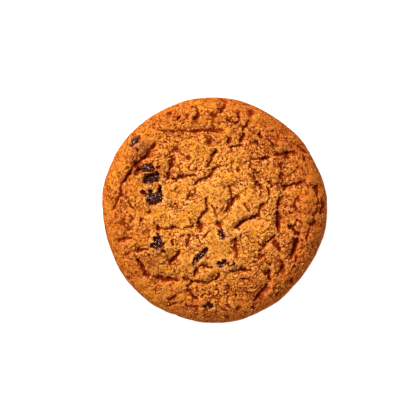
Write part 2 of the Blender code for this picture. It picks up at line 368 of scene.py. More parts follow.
def spread(radii, heights):
    """How much of the ball each point of the section takes."""
    middle = (radii[1:] + radii[:-1]) / 2
    area = middle * np.hypot(np.diff(radii), np.diff(heights))
    area[(heights[1:] + heights[:-1]) < BASE_LEVEL] *= BASE_DENSITY
    total = np.concatenate([[0.0], np.cumsum(area)])
    return total / total[-1]


print("section", len(section()[0]), "points, widest", MEAN_RADIUS, "mm")

# %% [markdown]
# Nine slow waves round the rim stand for the uneven spread of the dough. Each row says
# how many times the wave goes round, how far it strays, and where it starts in degrees.

# %% Outline of the dough
OUTLINE_WAVES = [
    (2, 0.10, 131.0),
    (3, 0.30, -43.0),
    (4, 0.18, 11.0),
    (5, 0.20, -34.0),
    (6, 0.10, 81.0),
    (8, 0.10, 28.0),
    (11, 0.09, -87.0),
    (12, 0.07, -135.0),
    (16, 0.08, 152.0),
]


def outline_radius(angle):
    """Share of the mean radius at which the outline lies in this direction."""
    stray = np.zeros_like(angle)
    for waves, size, phase in OUTLINE_WAVES:
        stray += size * np.cos(waves * angle + math.radians(phase))
    return 1.0 + stray / MEAN_RADIUS


print("outline", outline_radius(np.radians([0.0, 90.0, 180.0, 270.0])).round(4))

# %% [markdown]
# What the oven did to the top. Swells are smooth mounds, often with a raisin under
# them. A row is a place, the half widths to the right and up, and the height. They
# could be sculpted with a brush, but a table of places is easy to correct against the
# photograph, row by row.

# %% Swells
SWELLS = [
    (-23.4, -20.4, 5.0, 4.6, 0.9),
    (34.5, 2.0, 4.6, 7.0, 1.3),
    (-10.6, -19.2, 3.6, 4.2, 0.9),
    (-27.6, 12.0, 2.2, 3.0, 0.7),
    (-26.8, 23.7, 3.2, 3.2, 0.7),
    (-4.2, -24.6, 4.6, 2.2, 0.6),
    (1.1, 6.8, 5.0, 4.6, 0.7),
    (10.1, -1.5, 4.4, 2.8, 0.6),
    (1.8, -14.6, 4.6, 3.4, 0.6),
    (-18.2, -32.6, 3.2, 2.6, 0.6),
    (16.3, 34.4, 3.4, 2.6, 0.6),
]
print(len(SWELLS), "swells")

# %% [markdown]
# Cracks opened as the middle rose. Each is one gently bent run, and noise makes its
# edges wander later. A row is the two ends, how far the run bows to its left, its half
# width and its depth. Beside the long cracks the plates of crust round off.

# %% Long cracks
CRACKS = [
    (-21.7, 25.9, -27.0, 18.3, 0.4, 0.65, 1.7),
    (-26.2, 19.6, -29.8, 16.6, -0.1, 0.66, 1.6),
    (-28.1, 17.3, -34.5, 10.2, -0.4, 0.74, 1.7),
    (-33.9, 11.4, -35.4, 6.8, 0.1, 0.56, 1.2),
    (-34.5, 7.1, -38.2, -0.1, -0.2, 0.56, 1.2),
    (-20.1, 30.1, -8.7, 29.6, -0.4, 0.44, 0.8),
    (-9.6, 29.3, 3.3, 29.6, 0.4, 0.60, 1.2),
    (-16.2, 20.6, -16.1, 15.6, 0.4, 0.66, 1.6),
    (-16.1, 16.3, -17.5, 10.9, -0.2, 0.60, 1.3),
    (13.1, 34.2, 10.9, 29.6, 0.2, 0.56, 1.2),
    (11.5, 29.0, 9.7, 25.2, -0.2, 0.56, 1.2),
    (1.1, 23.0, -3.0, 15.8, 0.2, 0.65, 1.4),
    (1.4, 16.0, -2.4, 11.5, -0.3, 0.69, 1.5),
    (-2.1, 11.5, -7.4, 9.6, -0.5, 0.56, 1.2),
    (-12.0, 12.6, -6.7, 13.0, 0.1, 0.61, 1.1),
    (13.0, 19.3, 21.0, 20.0, -0.6, 0.56, 1.0),
    (22.2, 20.3, 30.8, 21.8, 0.3, 0.61, 1.2),
    (30.6, 24.2, 35.1, 21.6, 0.2, 0.48, 0.8),
    (-3.2, 5.0, -2.5, -1.0, 0.2, 0.52, 1.0),
    (-2.3, -1.0, -5.7, -4.0, -0.5, 0.61, 1.2),
    (-5.7, -4.0, -5.3, -7.8, 0.1, 0.78, 1.6),
    (7.8, -7.4, 13.4, -3.2, 0.3, 0.65, 1.7),
    (12.9, -3.1, 17.1, -1.6, -0.3, 0.65, 1.4),
    (16.9, -1.5, 19.1, 2.6, 0.7, 0.52, 1.1),
    (9.0, 5.7, 3.7, -0.4, 0.7, 0.56, 1.1),
    (5.3, 9.1, 7.6, 3.1, -0.2, 0.48, 0.9),
    (24.3, 5.2, 23.6, -0.6, 0.2, 0.74, 1.5),
    (23.7, -0.4, 24.4, -8.0, 0.2, 0.90, 1.9),
    (23.0, -8.8, 19.2, -12.2, 0.4, 0.65, 1.4),
    (18.8, -12.1, 17.3, -15.5, 0.3, 0.61, 1.2),
    (15.2, 14.8, 15.2, 10.6, -0.2, 0.56, 1.0),
    (15.1, 10.3, 18.5, 7.3, 0.1, 0.56, 0.9),
    (25.4, 8.5, 33.7, 11.1, -0.3, 0.65, 1.3),
    (38.7, 9.5, 39.1, 5.7, 0.3, 0.69, 1.1),
    (41.0, 4.6, 40.2, -2.2, 0.3, 0.48, 1.1),
    (38.9, -4.4, 35.6, -6.0, 0.3, 0.50, 1.1),
    (28.9, -5.2, 32.0, -9.7, -0.3, 0.52, 1.1),
    (31.0, -10.8, 28.7, -18.0, 0.4, 0.95, 2.0),
    (25.1, -18.4, 24.0, -24.8, 0.6, 0.69, 1.4),
    (20.5, -22.4, 21.6, -26.6, -0.5, 0.61, 1.3),
    (20.2, -27.4, 15.3, -34.1, 0.3, 0.82, 1.8),
    (-29.2, -17.6, -24.7, -25.1, -0.3, 0.69, 1.6),
    (-23.0, -25.8, -13.2, -26.5, 0.3, 0.65, 1.3),
    (-13.0, -15.3, -16.7, -20.6, 0.3, 0.82, 1.7),
    (-12.2, -25.4, -2.4, -27.3, -0.5, 0.48, 0.9),
    (-2.0, -27.8, 2.6, -24.0, -0.2, 0.56, 1.2),
    (-8.3, -26.3, -9.8, -28.9, 0.2, 0.52, 1.0),
    (-9.5, -29.3, -6.5, -33.5, -0.2, 0.56, 1.2),
    (6.1, -22.9, 13.3, -22.5, 0.2, 0.58, 1.4),
    (7.7, -10.0, 8.5, -17.9, 0.3, 0.52, 1.0),
    (-32.2, 2.7, -29.6, 0.5, -0.2, 0.52, 1.0),
    (-30.7, -2.1, -31.9, -5.5, 0.5, 0.52, 1.0),
    (-36.1, -12.7, -32.7, -9.6, 0.2, 0.56, 1.0),
    (-14.4, -31.7, -17.0, -34.3, 0.2, 0.61, 1.1),
    (4.5, 39.5, 2.0, 36.3, -0.3, 0.66, 1.1),
]
print(len(CRACKS), "long cracks")

# %% Short cracks
SMALL_CRACKS = [
    (-21.6, -6.8, -13.7, -6.4, -0.2, 0.40, 0.6),
    (-15.5, -10.8, -15.2, -13.8, 0.0, 0.41, 0.9),
    (-8.5, 7.0, -10.5, 3.6, 0.3, 0.48, 1.0),
    (-7.2, 8.4, -6.6, 6.0, 0.1, 0.42, 0.7),
    (-1.1, 2.1, 1.6, -2.5, 0.2, 0.39, 0.8),
    (10.9, 2.5, 13.2, -0.9, 0.2, 0.43, 0.9),
    (-11.4, -7.0, -6.9, -6.6, 0.2, 0.39, 0.7),
    (-9.1, -8.7, -10.3, -14.0, 0.2, 0.43, 0.9),
    (-4.0, -10.8, -1.0, -8.1, 0.1, 0.33, 0.7),
    (-6.2, -21.2, -0.6, -21.2, 0.1, 0.41, 1.0),
    (-5.9, -22.4, -7.8, -25.0, -0.2, 0.48, 0.9),
    (10.9, -22.0, 14.3, -22.7, 0.3, 0.37, 0.8),
    (-11.4, -35.8, -5.4, -35.8, -0.6, 0.38, 0.9),
    (10.2, -26.0, 13.9, -26.0, 0.2, 0.33, 0.6),
    (5.0, -27.8, 6.5, -29.3, 0.0, 0.48, 0.9),
    (0.3, -33.2, 2.6, -33.2, 0.1, 0.33, 0.6),
    (4.4, -35.5, 6.0, -36.6, 0.1, 0.39, 0.8),
    (-17.9, -36.4, -13.8, -34.9, -0.2, 0.37, 0.8),
    (19.5, -19.6, 21.4, -21.1, 0.1, 0.39, 0.8),
    (13.4, -17.6, 17.0, -18.4, 0.2, 0.44, 0.9),
    (20.0, 11.1, 21.9, 8.8, 0.0, 0.54, 1.0),
    (19.7, 7.9, 21.2, 6.0, 0.0, 0.63, 1.5),
    (25.4, 14.2, 25.7, 11.2, 0.0, 0.48, 0.9),
    (24.8, 17.9, 24.8, 14.9, 0.1, 0.39, 0.8),
    (15.8, 25.7, 18.8, 22.7, -0.2, 0.30, 0.7),
    (17.0, 28.8, 17.7, 26.5, 0.0, 0.53, 1.0),
    (20.4, 26.7, 22.6, 23.0, 0.2, 0.35, 0.7),
    (0.9, 37.8, 2.8, 38.9, 0.0, 0.33, 0.7),
    (5.9, 33.7, 8.5, 32.9, -0.6, 0.50, 1.1),
    (6.5, 23.9, 10.6, 24.3, -0.2, 0.48, 1.0),
    (4.5, 26.0, 6.4, 26.8, -0.2, 0.39, 0.8),
    (-7.3, 38.7, -5.7, 35.7, 0.2, 0.50, 1.0),
    (-5.2, 35.5, -7.0, 33.4, -0.2, 0.61, 1.1),
    (8.8, 36.7, 9.4, 34.5, 0.0, 0.52, 1.0),
    (-18.0, 35.8, -16.2, 36.1, 0.0, 0.46, 0.9),
    (-13.8, 35.1, -13.4, 33.1, 0.0, 0.50, 0.9),
    (4.6, 27.0, 5.8, 25.0, 0.0, 0.50, 0.9),
    (-14.0, 11.8, -11.1, 13.4, 0.2, 0.52, 1.1),
    (-10.1, 35.8, -9.5, 34.2, 0.0, 0.41, 0.9),
    (13.5, 18.4, 13.1, 15.4, 0.2, 0.54, 1.2),
    (31.6, 5.2, 30.6, -0.2, -1.2, 0.36, 0.7),
    (37.6, 8.4, 38.2, -1.4, 0.8, 0.36, 0.6),
    (31.1, -3.6, 33.4, -5.8, 0.0, 0.39, 0.9),
    (35.1, -6.4, 34.8, -12.0, 0.2, 0.54, 1.0),
    (22.5, -11.5, 24.4, -15.3, 0.2, 0.65, 1.2),
    (-15.8, 11.6, -13.5, 10.8, 0.0, 0.51, 1.1),
    (1.8, -4.1, 2.2, -7.1, 0.0, 0.56, 0.8),
    (-29.1, -14.8, -24.2, -15.2, 0.3, 0.52, 1.1),
    (-32.9, -10.9, -30.2, -10.9, 0.0, 0.48, 1.2),
    (-26.9, -2.8, -26.9, -5.0, 0.0, 0.39, 0.8),
    (30.9, -17.8, 30.5, -19.7, 0.0, 0.59, 1.3),
    (24.1, -30.4, 23.4, -32.7, 0.0, 0.37, 0.8),
    (28.8, -27.7, 29.6, -25.8, 0.0, 0.43, 0.8),
    (18.1, -22.8, 20.0, -24.7, -0.1, 0.48, 0.9),
    (34.3, 21.0, 33.9, 18.7, 0.0, 0.39, 0.7),
    (27.8, -5.8, 29.3, -7.3, 0.0, 0.52, 1.0),
    (-12.5, -10.2, -10.6, -9.1, 0.0, 0.45, 0.9),
    (9.1, 36.5, 9.5, 34.6, 0.0, 0.43, 0.9),
]
print(len(SMALL_CRACKS), "short cracks")

# %% [markdown]
# Pits are small holes where steam broke out: a place, a radius and a depth. Raisins
# have a place, a length, a width and a turn in degrees, the same as their solids.

# %% Pits and raisins
PITS = [
    (-21.1, -6.9, 1.0, 1.7),
    (-15.5, -6.3, 0.9, 1.6),
    (-20.8, 15.7, 0.9, 1.5),
    (-14.1, 22.5, 1.2, 1.4),
    (-0.1, 35.2, 1.0, 1.0),
    (13.8, 36.5, 1.2, 1.2),
    (-6.9, 15.2, 0.5, 0.9),
    (-1.9, 25.4, 1.2, 1.4),
    (-6.5, 34.1, 1.1, 0.7),
    (27.3, 20.7, 1.3, 1.5),
    (31.4, 3.9, 0.8, 0.5),
    (38.0, 8.6, 0.8, 0.7),
    (1.9, -5.3, 1.1, 1.0),
    (-24.1, -1.1, 0.9, 0.9),
    (17.8, -17.2, 1.0, 1.1),
    (9.1, 15.3, 0.9, 0.6),
    (-16.6, 36.0, 0.6, 0.8),
    (-13.3, 34.0, 0.6, 0.7),
    (-9.5, 19.0, 0.8, 1.0),
    (-32.1, -25.4, 0.6, 0.9),
    (5.3, -40.2, 0.8, 0.8),
    (9.2, -37.0, 0.8, 0.7),
    (15.0, -36.7, 0.7, 0.7),
    (-24.2, -17.2, 0.5, 0.8),
    (-6.7, -23.3, 0.9, 0.7),
    (-8.5, 38.3, 0.6, 0.8),
    (22.2, 29.2, 0.5, 0.5),
    (29.1, 1.8, 0.5, 0.6),
    (31.8, -9.5, 0.5, 0.5),
    (5.5, 2.1, 0.6, 0.8),
    (15.7, 9.8, 0.7, 0.8),
]
RAISINS = {
    "raisin_rim": (-29.4, 25.8, 6.2, 4.6, 25.0),
    "raisin_bank_upper": (-24.9, 15.3, 6.4, 3.2, -10.0),
    "raisin_bank_lower": (-23.0, 11.1, 7.2, 4.4, 12.0),
    "raisin_large": (-22.2, 4.5, 8.4, 6.8, -8.0),
    "raisin_west": (-20.9, -13.1, 6.6, 5.8, 75.0),
    "raisin_strip": (-5.1, -17.6, 7.8, 3.4, 43.0),
    "raisin_south_centre": (4.5, -20.2, 7.8, 4.4, 4.0),
    "raisin_small_centre": (3.2, -9.4, 4.0, 3.2, 70.0),
    "raisin_south_rim": (-2.1, -36.2, 4.8, 3.4, 8.0),
}
print(len(PITS), "pits", len(RAISINS), "raisins")

# %% [markdown]
# A crack is measured from its centre line: the nearer a point lies to the line, the
# deeper it is pushed in, and just outside the crack the dough stands up in a lip. A ditch
# three millimetres to either side rounds off the plates of crust between the long cracks.
# Cutting the mesh with a knife would give sharp, even slots, and a real crack is torn.

# %% Centre line of a crack
CRACK_STEPS = 9


def crack_line(row):
    """Points along one crack: a straight run bent sideways into a bow."""
    x0, y0, x1, y1, bend = row[:5]
    share = np.linspace(0.0, 1.0, CRACK_STEPS)
    length = math.hypot(x1 - x0, y1 - y0)
    side = np.array([-(y1 - y0), x1 - x0]) / length
    bow = 4.0 * share * (1.0 - share) * bend
    run = np.outer(1.0 - share, [x0, y0]) + np.outer(share, [x1, y1])
    return run + np.outer(bow, side)


print("middle of the first crack", crack_line(CRACKS[0])[CRACK_STEPS // 2].round(2))

# %% Relief of one crack
CRACK_CORE = 1.35
CRACK_SHARPNESS = 1.1
CRACK_VALLEY = 0.30
VALLEY_REACH = 2.6
CRACK_LIP = 0.07
LIP_PLACE = 3.6
TIP_TAPER = (-0.12, 0.16)
TIP_WIDTH = 0.55
TIP_WIDENING = 0.45
DITCH_REACH = 2.9


def crack_relief(plan, row):
    """Height that one crack adds at each plan point, its core there, and its ditch there."""
    half_width, depth = row[5:]
    line = crack_line(row)
    near = np.full(len(plan), FAR)
    where = np.zeros(len(plan))
    for index in range(CRACK_STEPS - 1):
        away, share = run_distance(plan, line[index], line[index + 1])
        closer = away < near
        near[closer] = away[closer]
        where[closer] = (index + share[closer]) / (CRACK_STEPS - 1)
    taper = smooth_step(np.minimum(where, 1.0 - where), *TIP_TAPER)
    wide = half_width * (TIP_WIDTH + TIP_WIDENING * taper)
    inside = np.clip(1.0 - near / (CRACK_CORE * wide), 0.0, 1.0)
    core = (1.0 - CRACK_VALLEY) * inside**CRACK_SHARPNESS
    valley = CRACK_VALLEY * bell(near / (VALLEY_REACH * wide))
    lip = CRACK_LIP * bell((near - LIP_PLACE * wide) / wide)
    ditch = depth * taper * bell(near / DITCH_REACH)
    return depth * taper * (lip - core - valley), taper * inside, ditch


across = CRACKS[0][0:2] + np.outer(np.linspace(0.0, 4.0, 5), [1.0, 0.0])
print("first crack's end, at 0 to 4 mm", crack_relief(across, CRACKS[0])[0].round(2))

# %% [markdown]
# The rest of the relief has no plan: it is layers of noise. The three broad layers lie
# where the solid's do, a little gentler, because the finer ones come on top. Those are
# the crumb: rounded grains, short fissures that follow the lines where noise crosses
# zero, and pores where it peaks. A displacement modifier could do one layer, but not
# leave the cracks and raisins alone. Every layer multiplies one seed by a turn of its
# own, so that no two are alike, and is tried on three places as soon as it is written.

# %% Broad lumps
LUMPS = [
    (13.0, 0.60),
    (5.2, 0.42),
    (2.6, 0.14),
]
LUMP_SEED = Vector((3.7, 9.1, 2.3))
CREASE_MEAN = 0.45
TRIAL = np.array([[0.0, 0.0, 12.0], [24.0, -6.0, 11.2], [-5.2, -7.4, 11.9]])
NO_HEIGHT = np.zeros(len(TRIAL))
NO_MOVE = np.zeros((len(TRIAL), 2))


def lumps(points):
    """Rounded lumps with creases between them, in three sizes, the widest a plain swell."""
    (wide, wide_height), *finer = LUMPS
    height = noise_at(points, wide, LUMP_SEED) * wide_height
    for order, (size, rise) in enumerate(finer, start=2):
        crease = np.abs(noise_at(points, size, LUMP_SEED * order))
        height += (crease * 2.0 - CREASE_MEAN) * rise
    return height


print("lumps", lumps(TRIAL).round(2), "mm")

# %% [markdown]
# Nothing in dough runs straight. Every plan point is first moved a little by three sizes
# of noise, so that whatever is placed by hand gets wandering, ragged and frayed edges.

# %% Wandering and ragged edges
WANDER_SIZE = 3.4
WANDER_REACH = 0.75
WANDER_TURNS = (5.0, 7.0)
RAGGED_SIZE = 1.2
RAGGED_REACH = 0.52
RAGGED_TURNS = (11.0, 13.0)
FRAYED_SIZE = 0.55
FRAYED_REACH = 0.34
FRAYED_TURNS = (41.0, 43.0)


def noise_pair(points, size, turns):
    """Two layers of noise side by side, to move plan points about with."""
    return np.stack([noise_at(points, size, LUMP_SEED * turn) for turn in turns], axis=1)


wandered = WANDER_REACH * noise_pair(TRIAL, WANDER_SIZE, WANDER_TURNS)
print("wandered by", wandered.round(2).tolist(), "mm")

# %% Swells on the crust
SWELL_SMOOTHS = 0.55


def add_swells(height, plan):
    """Raises the swells and smooths the lumps there. Returns how calm each place is."""
    calm = np.zeros(len(height))
    for x, y, half_x, half_y, rise in SWELLS:
        here = np.exp(-oval(plan, x, y, half_x, half_y))
        height *= 1.0 - SWELL_SMOOTHS * here
        height += rise * here
        calm = np.maximum(calm, here)
    return calm


print("calm", add_swells(NO_HEIGHT.copy(), TRIAL).round(2))

# %% [markdown]
# All the cracks go into one height. A crack opens wider in some places than in others.
# Short cracks are narrow, so they count as a little darker than their depth, and have
# no ditch. Only the points near a crack are worked on, which keeps a hundred quick.

# %% Cracks and holes in the crust
CRACK_RANGE = 7.0
SMALL_CRACK_SHADE = 1.25
CRACK_KINDS = (
    (CRACKS, 1.0, 1.0),
    (SMALL_CRACKS, SMALL_CRACK_SHADE, 0.0),
)
DITCH_DEPTH = 0.42
OPEN_SIZE = 2.1
OPEN_TURN = 47.0
OPEN_SWING = 0.9
OPEN_LIMITS = (0.62, 1.25)


def add_cracks(height, points, plan):
    """Opens every crack. Returns how far inside a crack, and a ditch, each place is."""
    flat = points[:, :2]
    swing = OPEN_SWING * noise_at(points, OPEN_SIZE, LUMP_SEED * OPEN_TURN)
    open_share = np.clip(1.00 + swing, *OPEN_LIMITS)
    crack = np.zeros(len(height))
    ditch = np.zeros(len(height))
    for rows, shade, slump in CRACK_KINDS:
        for row in rows:
            low = np.minimum(row[0:2], row[2:4]) - CRACK_RANGE
            high = np.maximum(row[0:2], row[2:4]) + CRACK_RANGE
            near = np.all((flat > low) & (flat < high), axis=1)
            rise, inside, dug = crack_relief(plan[near], row)
            inside = np.minimum(inside * shade, 1.0) * open_share[near]
            height[near] += rise * open_share[near]
            crack[near] = np.maximum(crack[near], inside)
            ditch[near] = np.maximum(ditch[near], dug * slump)
    height -= DITCH_DEPTH * ditch
    return crack, ditch


def add_holes(height, crack, plan, rows, steepness, shade):
    """Sinks round holes, and counts them as cracks, so that they get the cracks' colour, partly
    painted shade.
    """
    for x, y, radius, depth in rows:
        hole = np.exp(-((distance(plan, x, y) / radius) ** steepness))
        height -= depth * hole
        np.maximum(crack, shade * hole, out=crack)


print("cracks", add_cracks(NO_HEIGHT.copy(), TRIAL, TRIAL[:, :2])[0].round(2))

# %% [markdown]
# Grains are what the dough's flour and sugar baked into. Each small cube of space gets
# one grain centre, picked by mixing the cube's whole numbers, so that it is the same in
# every run. A grain is high at its centre and has a groove where it meets the next.

# %% Grain centres
HASH_STEPS = (73856093, 19349663, 83492791)
HASH_MIX = 0x9E3779B97F4A7C15
HASH_SHIFTS = (13, 29, 45)
HASH_LEVELS = 65536


def grains(points, size, seed):
    """Distances to the nearest and second nearest grain centre, one to each cube."""
    place = points / size
    home = np.floor(place).astype(np.int64)
    nearest = np.full(len(points), FAR)
    second = np.full(len(points), FAR)
    for step in np.ndindex(3, 3, 3):
        cube = home + np.array(step) - 1
        mixed = np.bitwise_xor.reduce(cube * HASH_STEPS, axis=1) ^ seed
        mixed = mixed.astype(np.uint64) * np.uint64(HASH_MIX)
        parts = [(mixed >> np.uint64(shift)) % np.uint64(HASH_LEVELS) for shift in HASH_SHIFTS]
        centre = cube + np.stack(parts, axis=1) / HASH_LEVELS
        away = np.sqrt(((place - centre) ** 2).sum(axis=1))
        second = np.minimum(second, np.maximum(nearest, away))
        nearest = np.minimum(nearest, away)
    return nearest, second


print("a grain centre lies", grains(np.zeros((1, 3)), 1.0, 7)[0].round(3), "from the middle")

# %% [markdown]
# Crumb is rougher in some patches than in others, smoothest on the swells, and calmer
# at the rim. Pores are holes of under a millimetre, most of them at the picture's top.

# %% Patches of rough crumb
PATCH_SIZE = 5.0
PATCH_TURN = 17.0
PATCH_MEAN = 0.85
PATCH_SWING = 1.3
PATCH_LIMITS = (0.25, 1.35)
CALM_SMOOTHS = 0.85
RIM_BAND = (36.5, 41.5)
RIM_SMOOTHS = 0.36


def roughness(points, calm):
    """How rough the crumb is at each place."""
    patch = noise_at(points, PATCH_SIZE, LUMP_SEED * PATCH_TURN)
    rim = smooth_step(distance(points, 0.0, 0.0), *RIM_BAND)
    rough = np.clip(PATCH_MEAN + PATCH_SWING * patch, *PATCH_LIMITS)
    return rough * (1.0 - CALM_SMOOTHS * calm) * (1.0 - RIM_SMOOTHS * rim)


print("rough", roughness(TRIAL, NO_HEIGHT).round(2))

# %% Grains and pores on the crust
GRAIN_SIZE = 1.05
GRAIN_HEIGHT = 0.04
GRAIN_SEED = 7
GRAIN_SHAKE = 0.5
GRAIN_MIDDLE = 0.55
GROOVE_SHARE = 0.35
GROOVE_STEEPNESS = 7.0
FINE_SIZE = 0.60
FINE_TURN = 23.0
FINE_HEIGHT = 0.110
PITTED_SIZE = 8.0
PITTED_TURN = 61.0
PITTED_MEAN = 0.5
PITTED_SWING = 1.2
PITTED_BAND = (14.0, 34.0)
PITTED_GAIN = 0.12
PORE_SIZE = 0.80
PORE_TURN = 29.0
PORE_PEAKS = (0.26, 0.50)
PORE_DEPTH = 0.38


def add_crumb(height, points, edge, rough):
    """Adds grains and pores. Returns the pores, and how many each place should have."""
    shake = edge[:, [0, 0, 1]] * GRAIN_SHAKE
    nearest, second = grains(points + shake, GRAIN_SIZE, GRAIN_SEED)
    groove = np.exp(-((second - nearest) * GROOVE_STEEPNESS))
    grain = GRAIN_MIDDLE - nearest - GROOVE_SHARE * groove
    fine = noise_at(points, FINE_SIZE, LUMP_SEED * FINE_TURN)
    swing = PITTED_SWING * noise_at(points, PITTED_SIZE, LUMP_SEED * PITTED_TURN)
    pitted = np.clip(PITTED_MEAN + swing, 0.0, 1.0)
    pitted = np.maximum(pitted, smooth_step(points[:, 1], *PITTED_BAND))
    peaks = noise_at(points, PORE_SIZE, LUMP_SEED * PORE_TURN) + PITTED_GAIN * pitted
    pore = smooth_step(peaks, *PORE_PEAKS)
    height += rough * (grain * GRAIN_HEIGHT + fine * FINE_HEIGHT - pore * PORE_DEPTH)
    return pore, pitted


print("pitted", add_crumb(NO_HEIGHT.copy(), TRIAL, NO_MOVE, 1.0)[1].round(2))

# %% [markdown]
# Fissures are the fine net of splits between the cracks. Noise is zero along winding
# lines, so a narrow bell round zero draws such lines, and a second noise breaks them up.
# A row is the size of the net in millimetres, the lines' width as a share of it, and
# their depth.

# %% Fissures in the crust
FISSURES = [
    (6.2, 0.040, 0.54),
    (3.6, 0.050, 0.40),
    (2.1, 0.066, 0.29),
    (1.3, 0.085, 0.18),
]
FISSURE_TURN = 31.0
FISSURE_TURN_STEP = 6.0
FISSURE_TEAR = (0.40, 0.20)
FISSURE_BREAK_SIZE = 0.8
FISSURE_BREAK_TURN = 1.7
FISSURE_BREAKS = (-0.08, 0.12)
FISSURE_LEAST = 0.35
FISSURE_ROUGH = 0.65


def add_fissures(height, points, ragged, frayed, rough):
    """Cuts the short fissures. Returns how far inside one each place is."""
    split = np.zeros(len(height))
    for order, (size, width, depth) in enumerate(FISSURES):
        seed = LUMP_SEED * (FISSURE_TURN + FISSURE_TURN_STEP * order)
        side = order % 2
        tear = FISSURE_TEAR[0] * ragged[:, side] + FISSURE_TEAR[1] * frayed[:, side]
        line = noise_at(points, size, seed) + tear / size
        unbroken = noise_at(points, size * FISSURE_BREAK_SIZE, seed * FISSURE_BREAK_TURN)
        fissure = bell(line / width) * smooth_step(unbroken, *FISSURE_BREAKS)
        height -= depth * fissure * (FISSURE_LEAST + FISSURE_ROUGH * rough)
        split = np.maximum(split, fissure)
    return split


print("split", add_fissures(NO_HEIGHT.copy(), TRIAL, NO_MOVE, NO_MOVE, 1.0).round(2))

# %% [markdown]
# Dough covers each raisin's edge and opens over its middle. The openings are unions of
# ovals, placed like the raisins. Bridges are streaks of dough left across them: two
# ends, a half width and a height. Gaps are dark clefts beside a raisin, in the same
# columns as the pits. They could be cut out with booleans, but torn dough has no clean
# edge, so the crust is one skin that dips under the raisin where it is open.

# %% Bridges and gaps
BRIDGES = [
    (-28.6, 12.3, -26.6, 13.1, 0.85, 0.9),
    (-26.6, 13.7, -22.8, 14.0, 0.36, 0.5),
    (-25.4, 8.6, -24.7, 6.4, 0.85, 0.8),
    (-22.4, 8.2, -22.2, 6.6, 0.70, 0.7),
    (-25.9, 3.2, -25.2, 4.4, 0.70, 0.5),
    (-31.2, 28.4, -32.0, 25.2, 0.90, 0.7),
    (-23.6, -15.0, -21.6, -15.6, 0.90, 0.8),
    (-23.4, -11.0, -22.9, -12.2, 0.60, 0.5),
    (-8.2, -19.0, -7.6, -17.6, 0.60, 0.6),
    (2.9, -18.6, 2.6, -19.4, 0.60, 0.9),
    (3.6, -22.8, 4.6, -21.2, 0.90, 0.9),
    (6.6, -18.2, 6.3, -20.1, 0.60, 0.9),
    (2.2, -11.4, 2.0, -10.2, 0.60, 0.8),
    (-4.2, -34.6, -3.0, -34.6, 0.70, 0.7),
]
GAPS = [
    (-21.2, 13.6, 0.80, 2.2),
    (-20.3, 7.9, 0.60, 2.2),
    (-20.2, 6.4, 0.60, 2.0),
    (-28.4, 15.2, 0.75, 1.0),
    (-28.6, 22.6, 0.55, 1.6),
    (-20.6, -9.2, 0.60, 1.4),
    (3.2, -10.9, 0.40, 1.6),
]


def add_bridges(height, plan):
    """Lays the streaks of dough over the raisins. Returns where they are."""
    over = np.zeros(len(height))
    for x0, y0, x1, y1, half_width, rise in BRIDGES:
        away, _ = run_distance(plan, np.array([x0, y0]), np.array([x1, y1]))
        here = bell(away / half_width)
        over = np.maximum(over, here)
        height += rise * here
    return over


print(len(BRIDGES), "bridges", len(GAPS), "gaps")

# %% Openings over the raisins
OPENINGS = {
    "raisin_rim": [
        (-30.1, 26.4, 5.2, 3.6, 5.0),
        (-30.5, 24.9, 1.6, 2.2, 0.0),
    ],
    "raisin_bank_upper": [
        (-25.1, 15.0, 6.0, 4.2, -8.0),
        (-28.2, 14.6, 3.8, 2.4, 35.0),
    ],
    "raisin_bank_lower": [
        (-23.5, 11.9, 6.6, 3.7, 25.0),
    ],
    "raisin_large": [
        (-22.6, 4.6, 6.6, 5.6, -10.0),
        (-20.2, 6.0, 1.6, 6.0, 0.0),
        (-26.2, 6.4, 1.8, 1.3, -45.0),
    ],
    "raisin_west": [
        (-21.3, -12.5, 5.6, 4.2, 85.0),
        (-18.8, -15.4, 2.2, 1.2, -45.0),
    ],
    "raisin_strip": [
        (-5.4, -17.3, 7.0, 1.9, 42.0),
    ],
    "raisin_south_centre": [
        (2.3, -20.3, 2.8, 1.8, -30.0),
        (4.1, -19.1, 2.0, 1.4, -20.0),
        (6.1, -20.4, 2.8, 1.6, 20.0),
        (4.3, -20.8, 2.4, 1.0, 0.0),
    ],
    "raisin_small_centre": [
        (2.9, -8.9, 3.2, 1.7, -52.0),
    ],
    "raisin_south_rim": [
        (-2.4, -35.9, 3.3, 2.0, 5.0),
    ],
}


def raisin_reach(plan, row):
    """Distance from a raisin's middle in plan, as a share of its half size."""
    x, y, length, width, turn = row
    angle = math.radians(turn)
    dx = plan[:, 0] - x
    dy = plan[:, 1] - y
    along = dx * math.cos(angle) + dy * math.sin(angle)
    across = dy * math.cos(angle) - dx * math.sin(angle)
    return np.hypot(along * 2.0 / length, across * 2.0 / width)


print(sum(len(rows) for rows in OPENINGS.values()), "ovals")

# %% [markdown]
# Two things are colour only. Stains are where juice from a raisin soaked in, and peel
# is three small olive-yellow specks. A row is a place, two half widths and a strength.

# %% Stains and specks of peel
PEEL = [
    (28.8, 27.3, 0.8, 0.5, 1.0),
    (30.0, 26.0, 0.5, 0.4, 1.0),
    (18.9, -20.9, 0.7, 0.4, 1.0),
]
STAINS = [
    (-25.8, 13.4, 2.6, 1.0, 0.35),
    (-27.6, 23.2, 3.6, 3.0, 0.75),
    (-30.6, 19.6, 2.6, 2.0, 0.45),
    (-23.6, -19.2, 3.8, 3.0, 0.48),
    (-21.6, -17.2, 2.0, 1.4, 0.35),
    (-10.6, -19.4, 2.0, 3.0, 0.20),
    (-6.8, -14.4, 1.6, 1.4, 0.35),
    (4.6, -22.6, 3.4, 1.0, 0.40),
    (-24.4, 9.0, 2.8, 1.0, 0.30),
    (28.0, 26.6, 1.8, 1.6, 0.18),
]


def spots(plan, rows):
    """The strongest of some soft oval spots at each plan point."""
    strongest = np.zeros(len(plan))
    for x, y, half_x, half_y, share in rows:
        here = share * bell(oval(plan, x, y, half_x, half_y))
        strongest = np.maximum(strongest, here)
    return strongest


print(len(STAINS), "stains", len(PEEL), "specks of peel")

